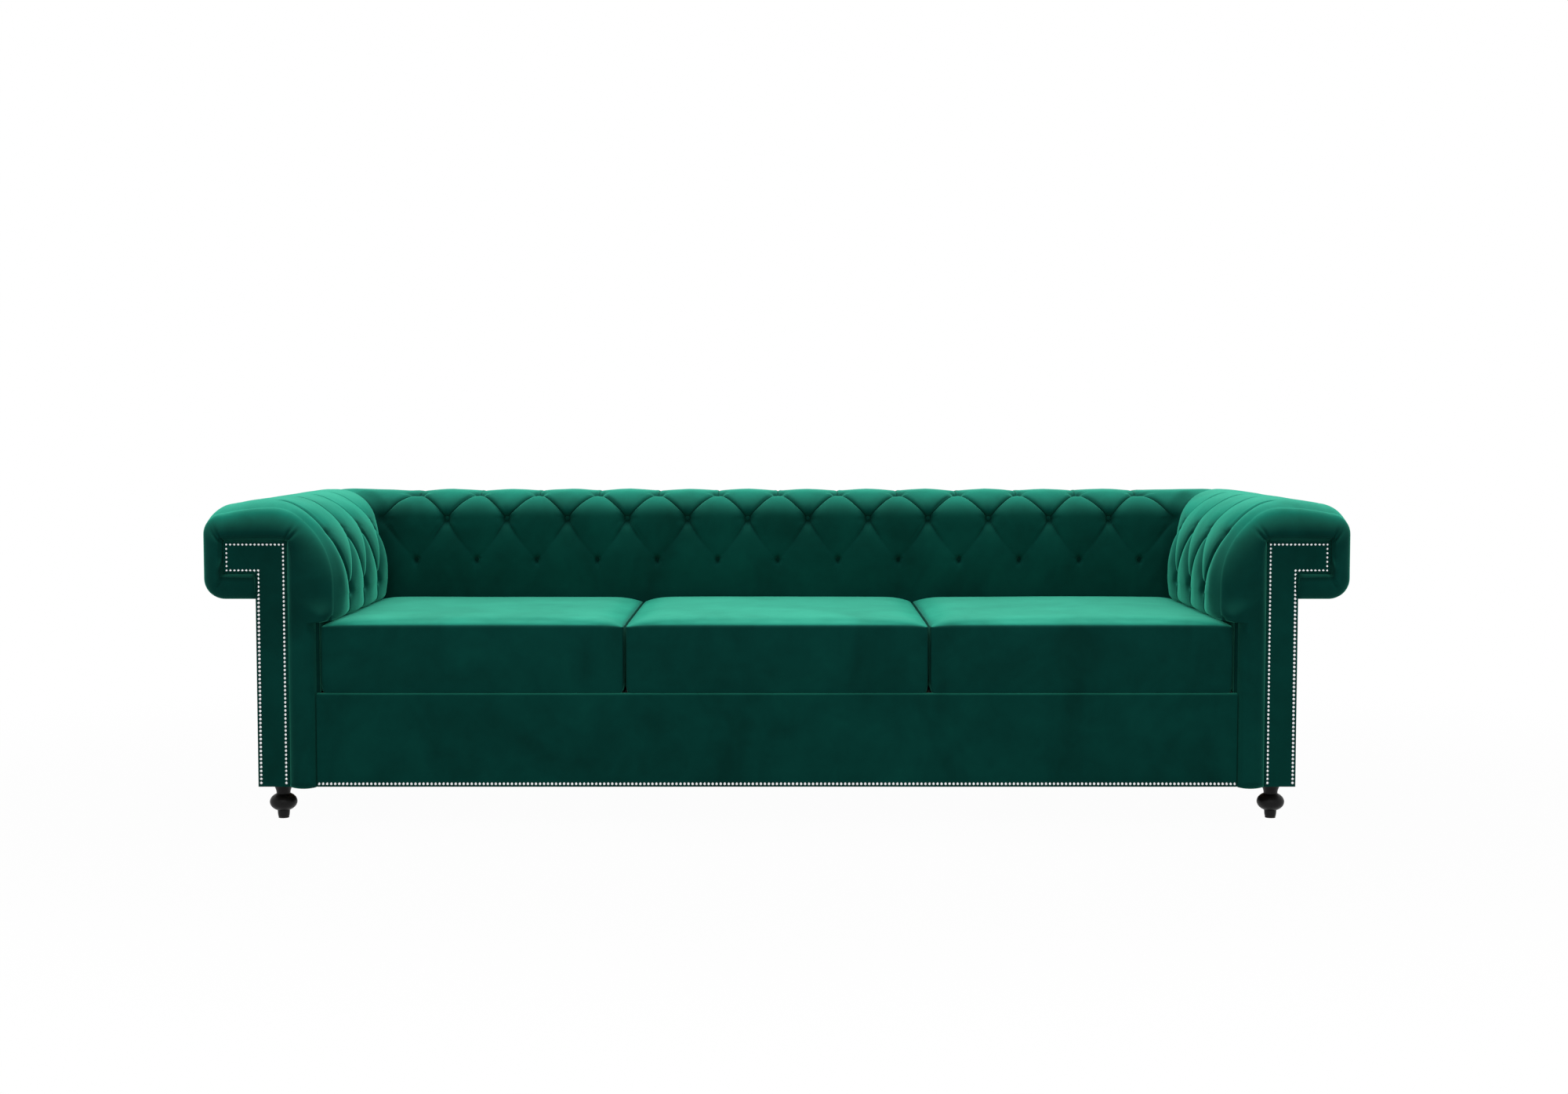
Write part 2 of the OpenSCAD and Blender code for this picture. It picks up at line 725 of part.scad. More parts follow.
module rear_foot_boards() {
    foot_y = seat_d + back_post - foot_rear;
    color(ply_colour) placed() difference() {
        foot_board_boxes();
        both_sides() translate([half_w + foot_x, foot_y, foot_h - 1]) foot_board_hole();
    }
}

// Sinuous springs from the front rail to the rear one, each held in a clip at both ends.
spring_y0 = former_front + rail_t / 2;
spring_y1 = rear_y - rail_t / 2;
spring_bends = round((spring_y1 - spring_y0 - 2 * bend_l) / bend_l);
spring_count = floor((seat_w - bend_w) / spring_pitch / 2);
spring_path = concat(
    [[bend_w / 4, spring_y0], [0, spring_y0]],
    [for (i = [0:4 * spring_bends]) let (s = sin(45 * i * 1.0)) [
        bend_w / 2 * sign(s) * pow(abs(s), 0.7),
        spring_y0 + bend_l + (spring_y1 - spring_y0 - 2 * bend_l) * i / (4 * spring_bends)
    ]],
    [[0, spring_y1], [bend_w / 4, spring_y1]]
);
function path_side(path, i) = let (
    a = path[max(i - 1, 0)],
    b = path[min(i + 1, len(path) - 1)],
    along = b - a
) [along[1], -along[0]] / norm(along) * wire_d / 2;

module seat_springs() {
    n = len(spring_path);
    outline = concat(
        [for (i = [0:n - 1]) spring_path[i] + path_side(spring_path, i)],
        [for (i = [n - 1:-1:0]) spring_path[i] - path_side(spring_path, i)]
    );
    color(steel) placed() for (s = [-spring_count:spring_count])
        translate([s * spring_pitch, 0, rail_top + clip_t + gap]) linear_extrude(wire_d) polygon(outline);
}

// A clip bent from strip, open towards the middle of the seat.
module spring_clip() {
    translate([-clip_w / 2 + bend_w / 8, 0, 0]) rotate([90, 0, 90]) linear_extrude(clip_w) polygon([
        [-clip_l / 2, 0], [clip_l / 2, 0], [clip_l / 2, clip_t], [clip_t - clip_l / 2, clip_t],
        [clip_t - clip_l / 2, clip_h - clip_t], [clip_l / 2, clip_h - clip_t], [clip_l / 2, clip_h],
        [-clip_l / 2, clip_h]
    ]);
}

module spring_clips() {
    color(steel) placed() for (s = [-spring_count:spring_count]) {
        translate([s * spring_pitch, spring_y0, rail_top]) spring_clip();
        translate([s * spring_pitch, spring_y1, rail_top]) mirror([0, 1, 0]) spring_clip();
    }
}

module seat_deck() {
    edge = half_w + pad_t - gap;
    color(felt) placed() box_between(
        [-edge, former_front, rail_top + clip_h + gap],
        [edge, seat_d + pad_t - gap, seat_z - gap]
    );
}

// Velvet-covered board across the front, with a rolled top edge.
apron_half = half_w + border_o - 2 * gap;
apron_roll = 9;
module apron() {
    top = seat_z - gap;
    outline = concat(
        [[0, cover_z], [facing_t, cover_z], [facing_t, top]],
        [for (a = [90:15:180]) [apron_roll + apron_roll * cos(a), top - apron_roll + apron_roll * sin(a)]]
    );
    color(velvet) placed() translate([-apron_half, 0, 0]) rotate([90, 0, 90])
        linear_extrude(2 * apron_half) polygon(outline);
}

module apron_nails() {
    end_x = apron_half - nail_d / 2 - gap;
    z = cover_z + nail_inset;
    color(nickel) placed() for (p = concat(nail_row([-end_x, z], [end_x, z]), [[end_x, z]]))
        translate([p[0], 0, p[1]]) nail();
}

module dust_cover() {
    x0 = half_w + frame_in;
    x1 = half_w + arm_out;
    y1 = rear_y - rail_t;
    y2 = seat_d + back_out;
    z = foot_h - dust_t;
    color(black) placed() difference() {
        translate([0, 0, z]) linear_extrude(dust_t) polygon([
            [-x0, former_front], [x0, former_front], [x0, y1], [x1, y1], [x1, y2],
            [-x1, y2], [-x1, y1], [-x0, y1]
        ]);
        translate([0, leg_y, z - 1]) cylinder(d = leg_d + 1, h = dust_t + 2);
        both_sides() translate([half_w + foot_x, seat_d + back_post - foot_rear, z - 1])
            cylinder(d = collar_d + 1, h = dust_t + 2);
    }
}

function foot_place(side, rear) = [
    side * (half_w + foot_x),
    rear ? seat_d + back_post - foot_rear : foot_front,
    0
];
foot_places = [for (side = [-1, 1], rear = [false, true]) foot_place(side, rear)];

// Turned foot: toe, ball, neck and a collar that flares against the frame, with a bore for the hanger bolt.
module foot(side, rear) {
    ball_z = toe_h + ball_h / 2;
    neck_z = toe_h + ball_h;
    a0 = asin(toe_d / ball_d);
    a1 = 180 - asin(neck_d / ball_d);
    color(black) placed() translate(foot_place(side, rear)) difference() {
        rotate_extrude() polygon(concat(
            [[0, glide_t], [toe_d / 2 - 1.5, glide_t], [toe_d / 2, glide_t + 2]],
            [for (i = [0:8]) let (a = a0 + (a1 - a0) * i / 8)
                [ball_d / 2 * sin(a), ball_z - ball_h / 2 * cos(a)]],
            [[neck_d / 2, neck_z], [neck_d / 2 + 3, neck_z + (foot_h - neck_z) * 0.45],
             [collar_d / 2, foot_h - hem], [collar_d / 2, foot_h], [0, foot_h]]
        ));
        translate([0, 0, foot_h - bolt_in]) cylinder(d = bolt_d, h = bolt_in + 1);
    }
}

module hanger_bolts() {
    color(steel) placed() for (p = foot_places) translate([p[0], p[1], foot_h - bolt_in])
        cylinder(d = bolt_d, h = bolt_in + former_t + bolt_out);
}

module tee_nuts() {
    color(steel) placed() for (p = foot_places) translate([p[0], p[1], foot_h]) difference() {
        union() {
            translate([0, 0, 3]) cylinder(d = barrel_d, h = former_t - 3);
            translate([0, 0, former_t]) cylinder(d = flange_d, h = flange_t);
        }
        translate([0, 0, 2]) cylinder(d = bolt_d, h = former_t + flange_t);
    }
}

module glides() {
    color(felt) placed() for (p = concat(foot_places, [[0, leg_y, 0]]))
        translate(p) cylinder(d = glide_d, h = glide_t);
}

// Plain leg under the middle stretcher, out of sight from the front.
module centre_leg() {
    color(black) placed() translate([0, leg_y, glide_t])
        cylinder(d1 = leg_d * 0.7, d2 = leg_d, h = foot_h + rail_t - glide_t);
}

// One ring of a cushion: a rectangle with round corners whose sides are drawn in between them.
function drawn_side(u) = draw_in * (1 - u * u);
function cushion_ring(inset, z) = let (
    w = cushion_w / 2 - inset, d = cushion_d / 2 - inset, r = corner_r + inset * 0.4,
    u = [for (i = [-3:3]) i / 3.5]
) concat(
    [for (t = u) [t * (w - r), drawn_side(t) - d, z]],
    [for (a = [-67.5, -45, -22.5]) [w - r + r * cos(a), r - d + r * sin(a), z]],
    [for (t = u) [w - drawn_side(t), t * (d - r), z]],
    [for (a = [22.5, 45, 67.5]) [w - r + r * cos(a), d - r + r * sin(a), z]],
    [for (t = u) [-t * (w - r), d - drawn_side(t), z]],
    [for (a = [112.5, 135, 157.5]) [r - w + r * cos(a), d - r + r * sin(a), z]],
    [for (t = u) [drawn_side(t) - w, -t * (d - r), z]],
    [for (a = [202.5, 225, 247.5]) [r - w + r * cos(a), r - d + r * sin(a), z]]
);

module cushion_form() {
    m = 40;
    levels = concat(
        [[7, 0], [1.5, 4], [0, cushion_t / 2], [1.5, cushion_t - 4], [7, cushion_t]],
        [for (i = [1:3]) let (f = i / 4) [7 + (cushion_d / 2 - 60) * f, cushion_t + crown * sin(90 * f)]]
    );
    n = len(levels);
    rings = [for (level = levels) cushion_ring(level[0], level[1])];
    low = n * m;
    high = low + 1;
    sides = [for (i = [0:n - 2], j = [0:m - 1]) let (q = (j + 1) % m)
        each quad(i * m + j, (i + 1) * m + j, (i + 1) * m + q, i * m + q)];
    floor_faces = [for (j = [0:m - 1]) [low, j, (j + 1) % m]];
    top_faces = [for (j = [0:m - 1]) [high, (n - 1) * m + (j + 1) % m, (n - 1) * m + j]];
    polyhedron(
        points = concat([for (ring = rings) each ring], [[0, 0, 0], [0, 0, cushion_t + crown]]),
        faces = concat(sides, floor_faces, top_faces),
        convexity = 4
    );
}

module at_cushion(place) {
    placed() translate([place * cushion_pitch, cushion_back + cushion_d / 2, seat_z + gap]) children();
}

zip_z = cushion_t / 2;
tape_y = cushion_d / 2 - draw_in - slider_t - tape_t;

// Cover with its fibre wrap, hollow for the foam core and open behind where the zip is sewn in.
module cushion_cover(place) {
    w = cushion_w - 2 * wrap_t;
    d = cushion_d - 2 * wrap_t;
    color(velvet) at_cushion(place) difference() {
        cushion_form();
        translate([-w / 2, -d / 2, wrap_t]) cube([w, d, cushion_t - 2 * wrap_t]);
        translate([-zip_l / 2, 0, zip_z - zip_h / 2]) cube([zip_l, cushion_d, zip_h]);
    }
}

module cushion_core(place) {
    w = cushion_w - 2 * wrap_t - 2 * gap;
    d = cushion_d - 2 * wrap_t - 2 * gap;
    color(foam) at_cushion(place) translate([-w / 2, -d / 2, wrap_t + gap])
        cube([w, d, cushion_t - 2 * wrap_t - 2 * gap]);
}

module zip_tape(place) {
    color(black) at_cushion(place) translate([gap - zip_l / 2, tape_y, gap + zip_z - zip_h / 2])
        cube([zip_l - 2 * gap, tape_t, zip_h - 2 * gap]);
}

// Slider parked at the left end of the zip, with its pull hanging flat.
module zip_slider(place) {
    start = [4 * gap - zip_l / 2, tape_y + tape_t + gap, zip_z - slider_h / 2];
    pull = [slider_w * 0.5, slider_t * 0.5, slider_h * 0.4 + 2];
    color(nickel) at_cushion(place) translate(start) {
        translate([0, 0, slider_h * 0.4]) cube([slider_w, slider_t - gap, slider_h * 0.6]);
        translate([slider_w * 0.25, slider_t * 0.3, -2]) cube(pull);
    }
}

front_y0 = former_front;
rear_y0 = rear_former_y;
arm_former(-1, front_y0, front_y0 + former_t, foot_h);  // arm_front_former_left
arm_former(1, front_y0, front_y0 + former_t, foot_h);  // arm_front_former_right
arm_former(-1, rear_y0, rear_y0 + former_t, foot_h);  // arm_rear_former_left
arm_former(1, rear_y0, rear_y0 + former_t, foot_h);  // arm_rear_former_right
arm_rails(-1);  // arm_rails_left
arm_rails(1);  // arm_rails_right
arm_lining(-1);  // arm_lining_left
arm_lining(1);  // arm_lining_right
arm_pad(-1);  // arm_pad_left
arm_pad(1);  // arm_pad_right
arm_border(-1);  // arm_border_left
arm_border(1);  // arm_border_right
arm_facing(-1);  // arm_facing_left
arm_facing(1);  // arm_facing_right
facing_nails(-1);  // facing_nails_left
facing_nails(1);  // facing_nails_right
arm_buttons(-1);  // arm_buttons_left
arm_buttons(1);  // arm_buttons_right
arm_outer_panel(-1);  // arm_outer_panel_left
arm_outer_panel(1);  // arm_outer_panel_right
back_formers();
back_rails();
back_lining();
back_pad();
back_buttons();
back_outer_panel();
front_rail();
rear_rail();
side_rails();
stretchers();
corner_blocks();
rear_foot_boards();
seat_springs();
spring_clips();
seat_deck();
apron();
apron_nails();
dust_cover();
foot(-1, false);  // foot_front_left
foot(1, false);  // foot_front_right
foot(-1, true);  // foot_rear_left
foot(1, true);  // foot_rear_right
centre_leg();
hanger_bolts();
tee_nuts();
glides();
cushion_cover(-1);  // cushion_cover_left
cushion_cover(0);  // cushion_cover_centre
cushion_cover(1);  // cushion_cover_right
cushion_core(-1);  // cushion_core_left
cushion_core(0);  // cushion_core_centre
cushion_core(1);  // cushion_core_right
zip_tape(-1);  // zip_tape_left
zip_tape(0);  // zip_tape_centre
zip_tape(1);  // zip_tape_right
zip_slider(-1);  // zip_slider_left
zip_slider(0);  // zip_slider_centre
zip_slider(1);  // zip_slider_right
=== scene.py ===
# Buttoned three-seat sofa in green velvet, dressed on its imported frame.
# Metres everywhere. "Out" counts outwards from the inner line of an arm,
# or rearwards from the foot of the back.
import json
import math

import bmesh
import bpy
from mathutils import Matrix, Vector, noise


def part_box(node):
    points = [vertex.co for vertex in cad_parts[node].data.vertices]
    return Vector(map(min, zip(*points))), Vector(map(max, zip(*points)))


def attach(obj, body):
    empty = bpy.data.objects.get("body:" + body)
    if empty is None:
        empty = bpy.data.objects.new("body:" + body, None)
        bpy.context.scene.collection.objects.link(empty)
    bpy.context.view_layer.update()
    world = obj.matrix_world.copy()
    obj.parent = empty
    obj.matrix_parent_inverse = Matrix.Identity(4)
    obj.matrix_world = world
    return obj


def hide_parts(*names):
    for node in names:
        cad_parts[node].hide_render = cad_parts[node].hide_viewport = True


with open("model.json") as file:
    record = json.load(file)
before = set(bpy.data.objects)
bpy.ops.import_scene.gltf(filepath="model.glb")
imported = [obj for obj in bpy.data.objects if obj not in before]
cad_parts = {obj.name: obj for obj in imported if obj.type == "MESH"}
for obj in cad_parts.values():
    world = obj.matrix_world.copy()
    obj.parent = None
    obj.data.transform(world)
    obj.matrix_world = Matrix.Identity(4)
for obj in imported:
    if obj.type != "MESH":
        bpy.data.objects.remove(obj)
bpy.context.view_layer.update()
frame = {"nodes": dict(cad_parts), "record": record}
nodes = frame["nodes"]
print("frame loaded,", len(nodes), "nodes")


# Camera and light

view = {
    "lens": 47.286,                      # millimetres on a 36 mm wide sensor
    "sensor": 36.0,
    "place": (0.0155, -4.925, 0.8786),
    "pitch": 3.496,                      # degrees below level
}

studio = {
    "skyLight": 0.55,                    # even light from all round
    "floorHalf": 14.0,
    "floorColour": (0.42, 0.42, 0.42, 1.0),
    "floorRoughness": 0.9,
    "floorGlow": 0.975,                  # how far the floor goes to plain white under the sofa
    "floorFade": (1.0, 2.1),             # it is plain white beyond this many half sofas from the middle
    "floorSpan": (1.5, 1.1),             # the half sofa this is counted in, metres
}
softBoxes = {                            # size, place, power in watts, the point it faces
    "topBox": ((5.0, 3.2), (0.0, 0.1, 3.3), 72.0, (0.0, 0.1, 0.4)),
    "rearBox": ((6.0, 1.8), (0.0, 2.8, 4.4), 60.0, (0.0, 0.2, 0.45)),    # it lights the pile on level surfaces
    "frontBox": ((4.0, 2.0), (0.0, -4.6, 2.6), 20.0, (0.0, 0.0, 0.4)),
}


def addCamera():
    data = bpy.data.cameras.new("camera")
    data.lens = view["lens"]
    data.sensor_width = view["sensor"]
    data.sensor_fit = "HORIZONTAL"
    data.clip_end = 60.0
    camera = bpy.data.objects.new("camera", data)
    camera.location = view["place"]
    camera.rotation_euler = (math.radians(90.0 - view["pitch"]), 0.0, 0.0)
    bpy.context.scene.collection.objects.link(camera)
    bpy.context.scene.camera = camera


def addSoftBox(name, size, place, power, aim):
    data = bpy.data.lights.new(name, "AREA")
    data.shape = "RECTANGLE"
    data.size, data.size_y = size
    data.energy = power
    lamp = bpy.data.objects.new(name, data)
    lamp.location = place
    lamp.rotation_euler = (Vector(aim) - Vector(place)).to_track_quat("-Z", "Y").to_euler()
    bpy.context.scene.collection.objects.link(lamp)


def fillIn(tree, node, values):
    # sets a node's sockets to plain values, or links them to other nodes' outputs
    for socket, value in values.items():
        if isinstance(value, bpy.types.NodeSocket):
            tree.links.new(value, node.inputs[socket])
        else:
            node.inputs[socket].default_value = value
    return node


def addNode(tree, kind, values=None, operation=None):
    node = tree.nodes.new(kind)
    if operation:
        node.operation = operation
    return fillIn(tree, node, values or {})


def seenDirectly(tree):
    # 1 for what the camera, a mirror or glass sees, 0 for light that falls on the sofa
    rays = addNode(tree, "ShaderNodeLightPath").outputs
    seen = addNode(tree, "ShaderNodeMath", {0: rays["Is Camera Ray"], 1: rays["Is Glossy Ray"]}, "MAXIMUM")
    seen = addNode(tree, "ShaderNodeMath", {0: seen.outputs[0], 1: rays["Is Transmission Ray"]}, "MAXIMUM")
    return seen.outputs[0]


def addSky():
    world = bpy.data.worlds.new("studio")
    bpy.context.scene.world = world
    world.use_nodes = True
    tree = world.node_tree
    tree.nodes.clear()
    white = (1.0, 1.0, 1.0, 1.0)
    light = addNode(tree, "ShaderNodeBackground", {"Color": white, "Strength": studio["skyLight"]})
    paper = addNode(tree, "ShaderNodeBackground", {"Color": white, "Strength": 1.0})
    mix = addNode(tree, "ShaderNodeMixShader", {0: seenDirectly(tree), 1: light.outputs[0], 2: paper.outputs[0]})
    addNode(tree, "ShaderNodeOutputWorld", {"Surface": mix.outputs[0]})


def addFloor():
    bm = bmesh.new()
    bmesh.ops.create_grid(bm, x_segments=1, y_segments=1, size=studio["floorHalf"])
    mesh = bpy.data.meshes.new("floor")
    bm.to_mesh(mesh)
    bm.free()
    floor = bpy.data.objects.new("floor", mesh)
    bpy.context.scene.collection.objects.link(floor)
    material = bpy.data.materials.new("paleFloor")
    material.use_nodes = True
    tree = material.node_tree
    shader = fillIn(tree, tree.nodes["Principled BSDF"], {
        "Base Color": studio["floorColour"], "Roughness": studio["floorRoughness"], "Specular IOR Level": 0.0,
    })
    place = addNode(tree, "ShaderNodeTexCoord")
    spans = {0: place.outputs["Object"], 1: (*studio["floorSpan"], 1.0)}
    spans = addNode(tree, "ShaderNodeVectorMath", spans, "DIVIDE")
    away = addNode(tree, "ShaderNodeVectorMath", {0: spans.outputs[0]}, "LENGTH")
    near, far = studio["floorFade"]
    fade = addNode(tree, "ShaderNodeMapRange")
    fade.interpolation_type = "SMOOTHSTEP"
    fillIn(tree, fade, {
        "Value": away.outputs["Value"], "From Min": near, "From Max": far, "To Min": studio["floorGlow"], "To Max": 1.0,
    })
    share = addNode(tree, "ShaderNodeMath", {0: seenDirectly(tree), 1: fade.outputs["Result"]}, "MULTIPLY")
    glow = addNode(tree, "ShaderNodeEmission")
    mix = addNode(tree, "ShaderNodeMixShader", {0: share.outputs[0], 1: shader.outputs[0], 2: glow.outputs[0]})
    fillIn(tree, tree.nodes["Material Output"], {"Surface": mix.outputs[0]})
    mesh.materials.append(material)


bpy.context.scene.view_settings.view_transform = "Standard"
addCamera()
addSky()
for name, (size, place, power, aim) in softBoxes.items():
    addSoftBox(name, size, place, power, aim)
addFloor()
print("camera, soft boxes and floor set")


# Finishes

def finish(name):
    # a new material with its tree and its principled shader
    material = bpy.data.materials.new(name)
    material.use_nodes = True
    tree = material.node_tree
    return material, tree, tree.nodes["Principled BSDF"]


def objectPoints(tree, scale=(1.0, 1.0, 1.0)):
    place = addNode(tree, "ShaderNodeTexCoord")
    mapping = addNode(tree, "ShaderNodeMapping", {"Vector": place.outputs["Object"], "Scale": scale})
    return mapping.outputs["Vector"]


def noiseOn(tree, points, scale, detail, roughness, distortion=0.0):
    settings = {"Vector": points, "Scale": scale, "Detail": detail, "Roughness": roughness, "Distortion": distortion}
    return addNode(tree, "ShaderNodeTexNoise", settings).outputs["Fac"]


def ramp(tree, value, stops):
    blend = addNode(tree, "ShaderNodeValToRGB", {"Fac": value})
    elements = blend.color_ramp.elements
    while len(elements) < len(stops):
        elements.new(0.5)
    for element, (position, colour) in zip(elements, stops):
        element.position = position
        element.color = (*colour, 1.0)
    return blend.outputs["Color"]


def spread(tree, value, low, high, toLow, toHigh):
    # rescales a value that runs from low to high
    limits = {"Value": value, "From Min": low, "From Max": high, "To Min": toLow, "To Max": toHigh}
    return addNode(tree, "ShaderNodeMapRange", limits).outputs["Result"]


def calculate(tree, operation, first, second):
    return addNode(tree, "ShaderNodeMath", {0: first, 1: second}, operation).outputs[0]


def blended(tree, values, shares):
    # the values added up, each by its share
    total = None
    for value, share in zip(values, shares):
        part = calculate(tree, "MULTIPLY", value, share)
        total = part if total is None else calculate(tree, "ADD", total, part)
    return total


def tint(tree, mode, amount, first, second):
    node = addNode(tree, "ShaderNodeMix")
    node.data_type = "RGBA"
    node.blend_type = mode
    return fillIn(tree, node, {0: amount, 6: first, 7: second}).outputs[2]


def attributeOf(tree, name):
    node = addNode(tree, "ShaderNodeAttribute")
    node.attribute_name = name
    return node.outputs["Fac"]


def bumpFrom(tree, shader, height, strength, distance):
    bump = addNode(tree, "ShaderNodeBump", {"Height": height, "Strength": strength, "Distance": distance})
    fillIn(tree, shader, {"Normal": bump.outputs["Normal"]})


velvetLook = {
    # upright: the cloth's own deep colours; level: the paler colours of the painted sheen on cloth that faces up
    "upright": ((0.0010, 0.037, 0.0290), (0.0013, 0.050, 0.0395), (0.0019, 0.064, 0.0500)),
    "level": ((0.046, 0.335, 0.226), (0.055, 0.415, 0.281), (0.066, 0.492, 0.335)),
    "stops": (0.36, 0.50, 0.66),         # where on the marks these colours lie
    "shares": (0.65, 0.25, 0.10),        # of brushed marks, patches and single hairs
    "halfSheenTint": (0.42, (0.36, 1.0, 1.0)),    # the painted sheen's middle tones are painted less red
    "roughness": 0.85,
    "specular": 0.05,
    "sheen": 0.85,
    "sheenRoughness": 0.34,
    "sheenTint": (0.12, 0.95, 0.66, 1.0),
    "brushScale": 5.0,
    "patchScale": 20.0,
    "pileScale": 700.0,
    "pileBump": 0.35,
    "creaseDark": 0.35,                  # painted shade: what a full crease leaves of the colour
    "creaseSheen": 0.15,                 # painted shade: the sheen weight left in a full crease
    "creaseFrom": 0.55,                  # the sheen is lowered from this much painted shade on
    "shadeCutsSheen": 0.85,                  # how far a full crease takes the painted sheen away
}


# painted sheen on cloth that faces up: from which tilt on, how suddenly, how far,
# and the rounds of evening it out over the mesh
sheenPaint = {
    "plain": (0.04, 1.8, 0.85, 3),
    "board": (0.10, 1.6, 0.25, 1),
    "back": (0.0, 1.8, 0.47, 28),
    "arm": (0.03, 1.8, 0.95, 5),
    "border": (0.0, 1.2, 0.72, 5),
    "cushion": (0.0, 10.0, 0.97, 0),
}


def velvetFinish(name, shade=1.0):
    # upright cloth keeps its deep colour, cloth that faces up is painted paler as painted sheen, and creases take
    # painted shade
    look = velvetLook
    material, tree, shader = finish(name)
    brushed = noiseOn(tree, objectPoints(tree, (1.0, 1.0, 0.75)), look["brushScale"], 3.0, 0.55, 0.6)
    patches = noiseOn(tree, objectPoints(tree), look["patchScale"], 4.0, 0.6, 0.3)
    pile = noiseOn(tree, objectPoints(tree), look["pileScale"], 2.0, 0.6)
    marks = blended(tree, (brushed, patches, pile), look["shares"])
    upright, level = (
        ramp(tree, marks, [(p, tuple(c * shade for c in colour)) for p, colour in zip(look["stops"], look[key])])
        for key in ("upright", "level")
    )
    # the first vertex mark paints sheen on cloth that faces up, the second paints shade in creases, pits and gaps
    paintedSheen, paintedShade = attributeOf(tree, "paintedSheen"), attributeOf(tree, "paintedShade")
    white = (1.0, 1.0, 1.0)
    colour = tint(tree, "MIX", paintedSheen, upright, level)
    colour = tint(tree, "MULTIPLY", 1.0, colour, ramp(tree, paintedSheen, [(0.0, white), look["halfSheenTint"], (1.0, white)]))
    # painted shade: the colour is darkened in creases
    dark = spread(tree, paintedShade, 0.0, 1.0, 1.0, look["creaseDark"])
    shaded = addNode(tree, "ShaderNodeVectorMath", {0: colour, "Scale": dark}, "SCALE")
    fillIn(tree, shader, {
        "Base Color": shaded.outputs[0],
        "Roughness": look["roughness"],
        "Specular IOR Level": look["specular"],
        # painted shade also lowers the sheen in creases
        "Sheen Weight": spread(tree, paintedShade, look["creaseFrom"], 1.0, look["sheen"], look["creaseSheen"]),
        "Sheen Roughness": look["sheenRoughness"],
        "Sheen Tint": look["sheenTint"],
    })
    height = calculate(tree, "ADD", calculate(tree, "MULTIPLY", pile, 0.3), patches)
    bumpFrom(tree, shader, height, look["pileBump"], 0.0012)
    return material


def metalFinish(name, colour, roughness, wear):
    material, tree, shader = finish(name)
    stains = noiseOn(tree, objectPoints(tree), 260.0, 3.0, 0.6)
    worn = tuple(c * (1.0 - wear) for c in colour)
    fillIn(tree, shader, {
        "Base Color": ramp(tree, stains, [(0.35, worn), (0.6, colour)]),
        "Roughness": spread(tree, stains, 0.3, 0.7, roughness * 0.8, roughness * 1.5),
        "Metallic": 1.0,
    })
    bumpFrom(tree, shader, stains, 0.08, 0.0004)
    return material


def woodFinish(name, light, dark, along, bands=0.0):
    # along is the stretch of the grain on each axis
    material, tree, shader = finish(name)
    points = objectPoints(tree, along)
    grain = noiseOn(tree, points, 38.0, 6.0, 0.65, 1.2)
    figure = noiseOn(tree, points, 7.0, 2.0, 0.5, 2.0)
    middle = tuple((a + b) / 2.0 for a, b in zip(light, dark))
    colour = ramp(tree, blended(tree, (grain, figure), (0.6, 0.4)), [(0.32, dark), (0.5, middle), (0.66, light)])
    if bands:
        layers = addNode(tree, "ShaderNodeTexWave", {"Vector": objectPoints(tree), "Scale": bands, "Distortion": 0.6})
        layers.wave_type = "BANDS"
        layers.bands_direction = "DIAGONAL"
        colour = tint(tree, "MULTIPLY", 0.35, colour, layers.outputs["Color"])
    fillIn(tree, shader, {"Base Color": colour, "Roughness": spread(tree, grain, 0.3, 0.7, 0.5, 0.75)})
    bumpFrom(tree, shader, grain, 0.25, 0.0008)
    return material


def clothFinish(name, light, dark, scale, roughness, bump):
    # felted or bonded cloth: fibres lying every way
    material, tree, shader = finish(name)
    fibres = noiseOn(tree, objectPoints(tree), scale, 5.0, 0.75, 0.8)
    clouds = noiseOn(tree, objectPoints(tree), scale / 40.0, 3.0, 0.5)
    fillIn(tree, shader, {
        "Base Color": ramp(tree, blended(tree, (fibres, clouds), (0.7, 0.3)), [(0.35, dark), (0.65, light)]),
        "Roughness": roughness,
        "Specular IOR Level": 0.2,
        "Sheen Weight": 0.15,
    })
    bumpFrom(tree, shader, fibres, bump, 0.0015)
    return material


def lacquerFinish(name):
    material, tree, shader = finish(name)
    brush = noiseOn(tree, objectPoints(tree, (1.0, 1.0, 6.0)), 90.0, 4.0, 0.6)
    wear = noiseOn(tree, objectPoints(tree), 26.0, 4.0, 0.6, 0.5)
    fillIn(tree, shader, {
        "Base Color": ramp(tree, wear, [(0.3, (0.004, 0.004, 0.004)), (0.72, (0.010, 0.010, 0.010))]),
        "Roughness": spread(tree, wear, 0.3, 0.7, 0.34, 0.50),
        "Specular IOR Level": 0.14,
        "Coat Weight": 0.03,
        "Coat Roughness": 0.22,
    })
    bumpFrom(tree, shader, brush, 0.10, 0.0006)
    return material


def foamFinish(name):
    material, tree, shader = finish(name)
    cells = addNode(tree, "ShaderNodeTexVoronoi", {"Vector": objectPoints(tree), "Scale": 420.0})
    cells = cells.outputs["Distance"]
    fillIn(tree, shader, {
        "Base Color": ramp(tree, cells, [(0.1, (0.45, 0.40, 0.26)), (0.6, (0.82, 0.76, 0.56))]),
        "Roughness": 0.95,
    })
    bumpFrom(tree, shader, cells, 0.5, 0.001)
    return material


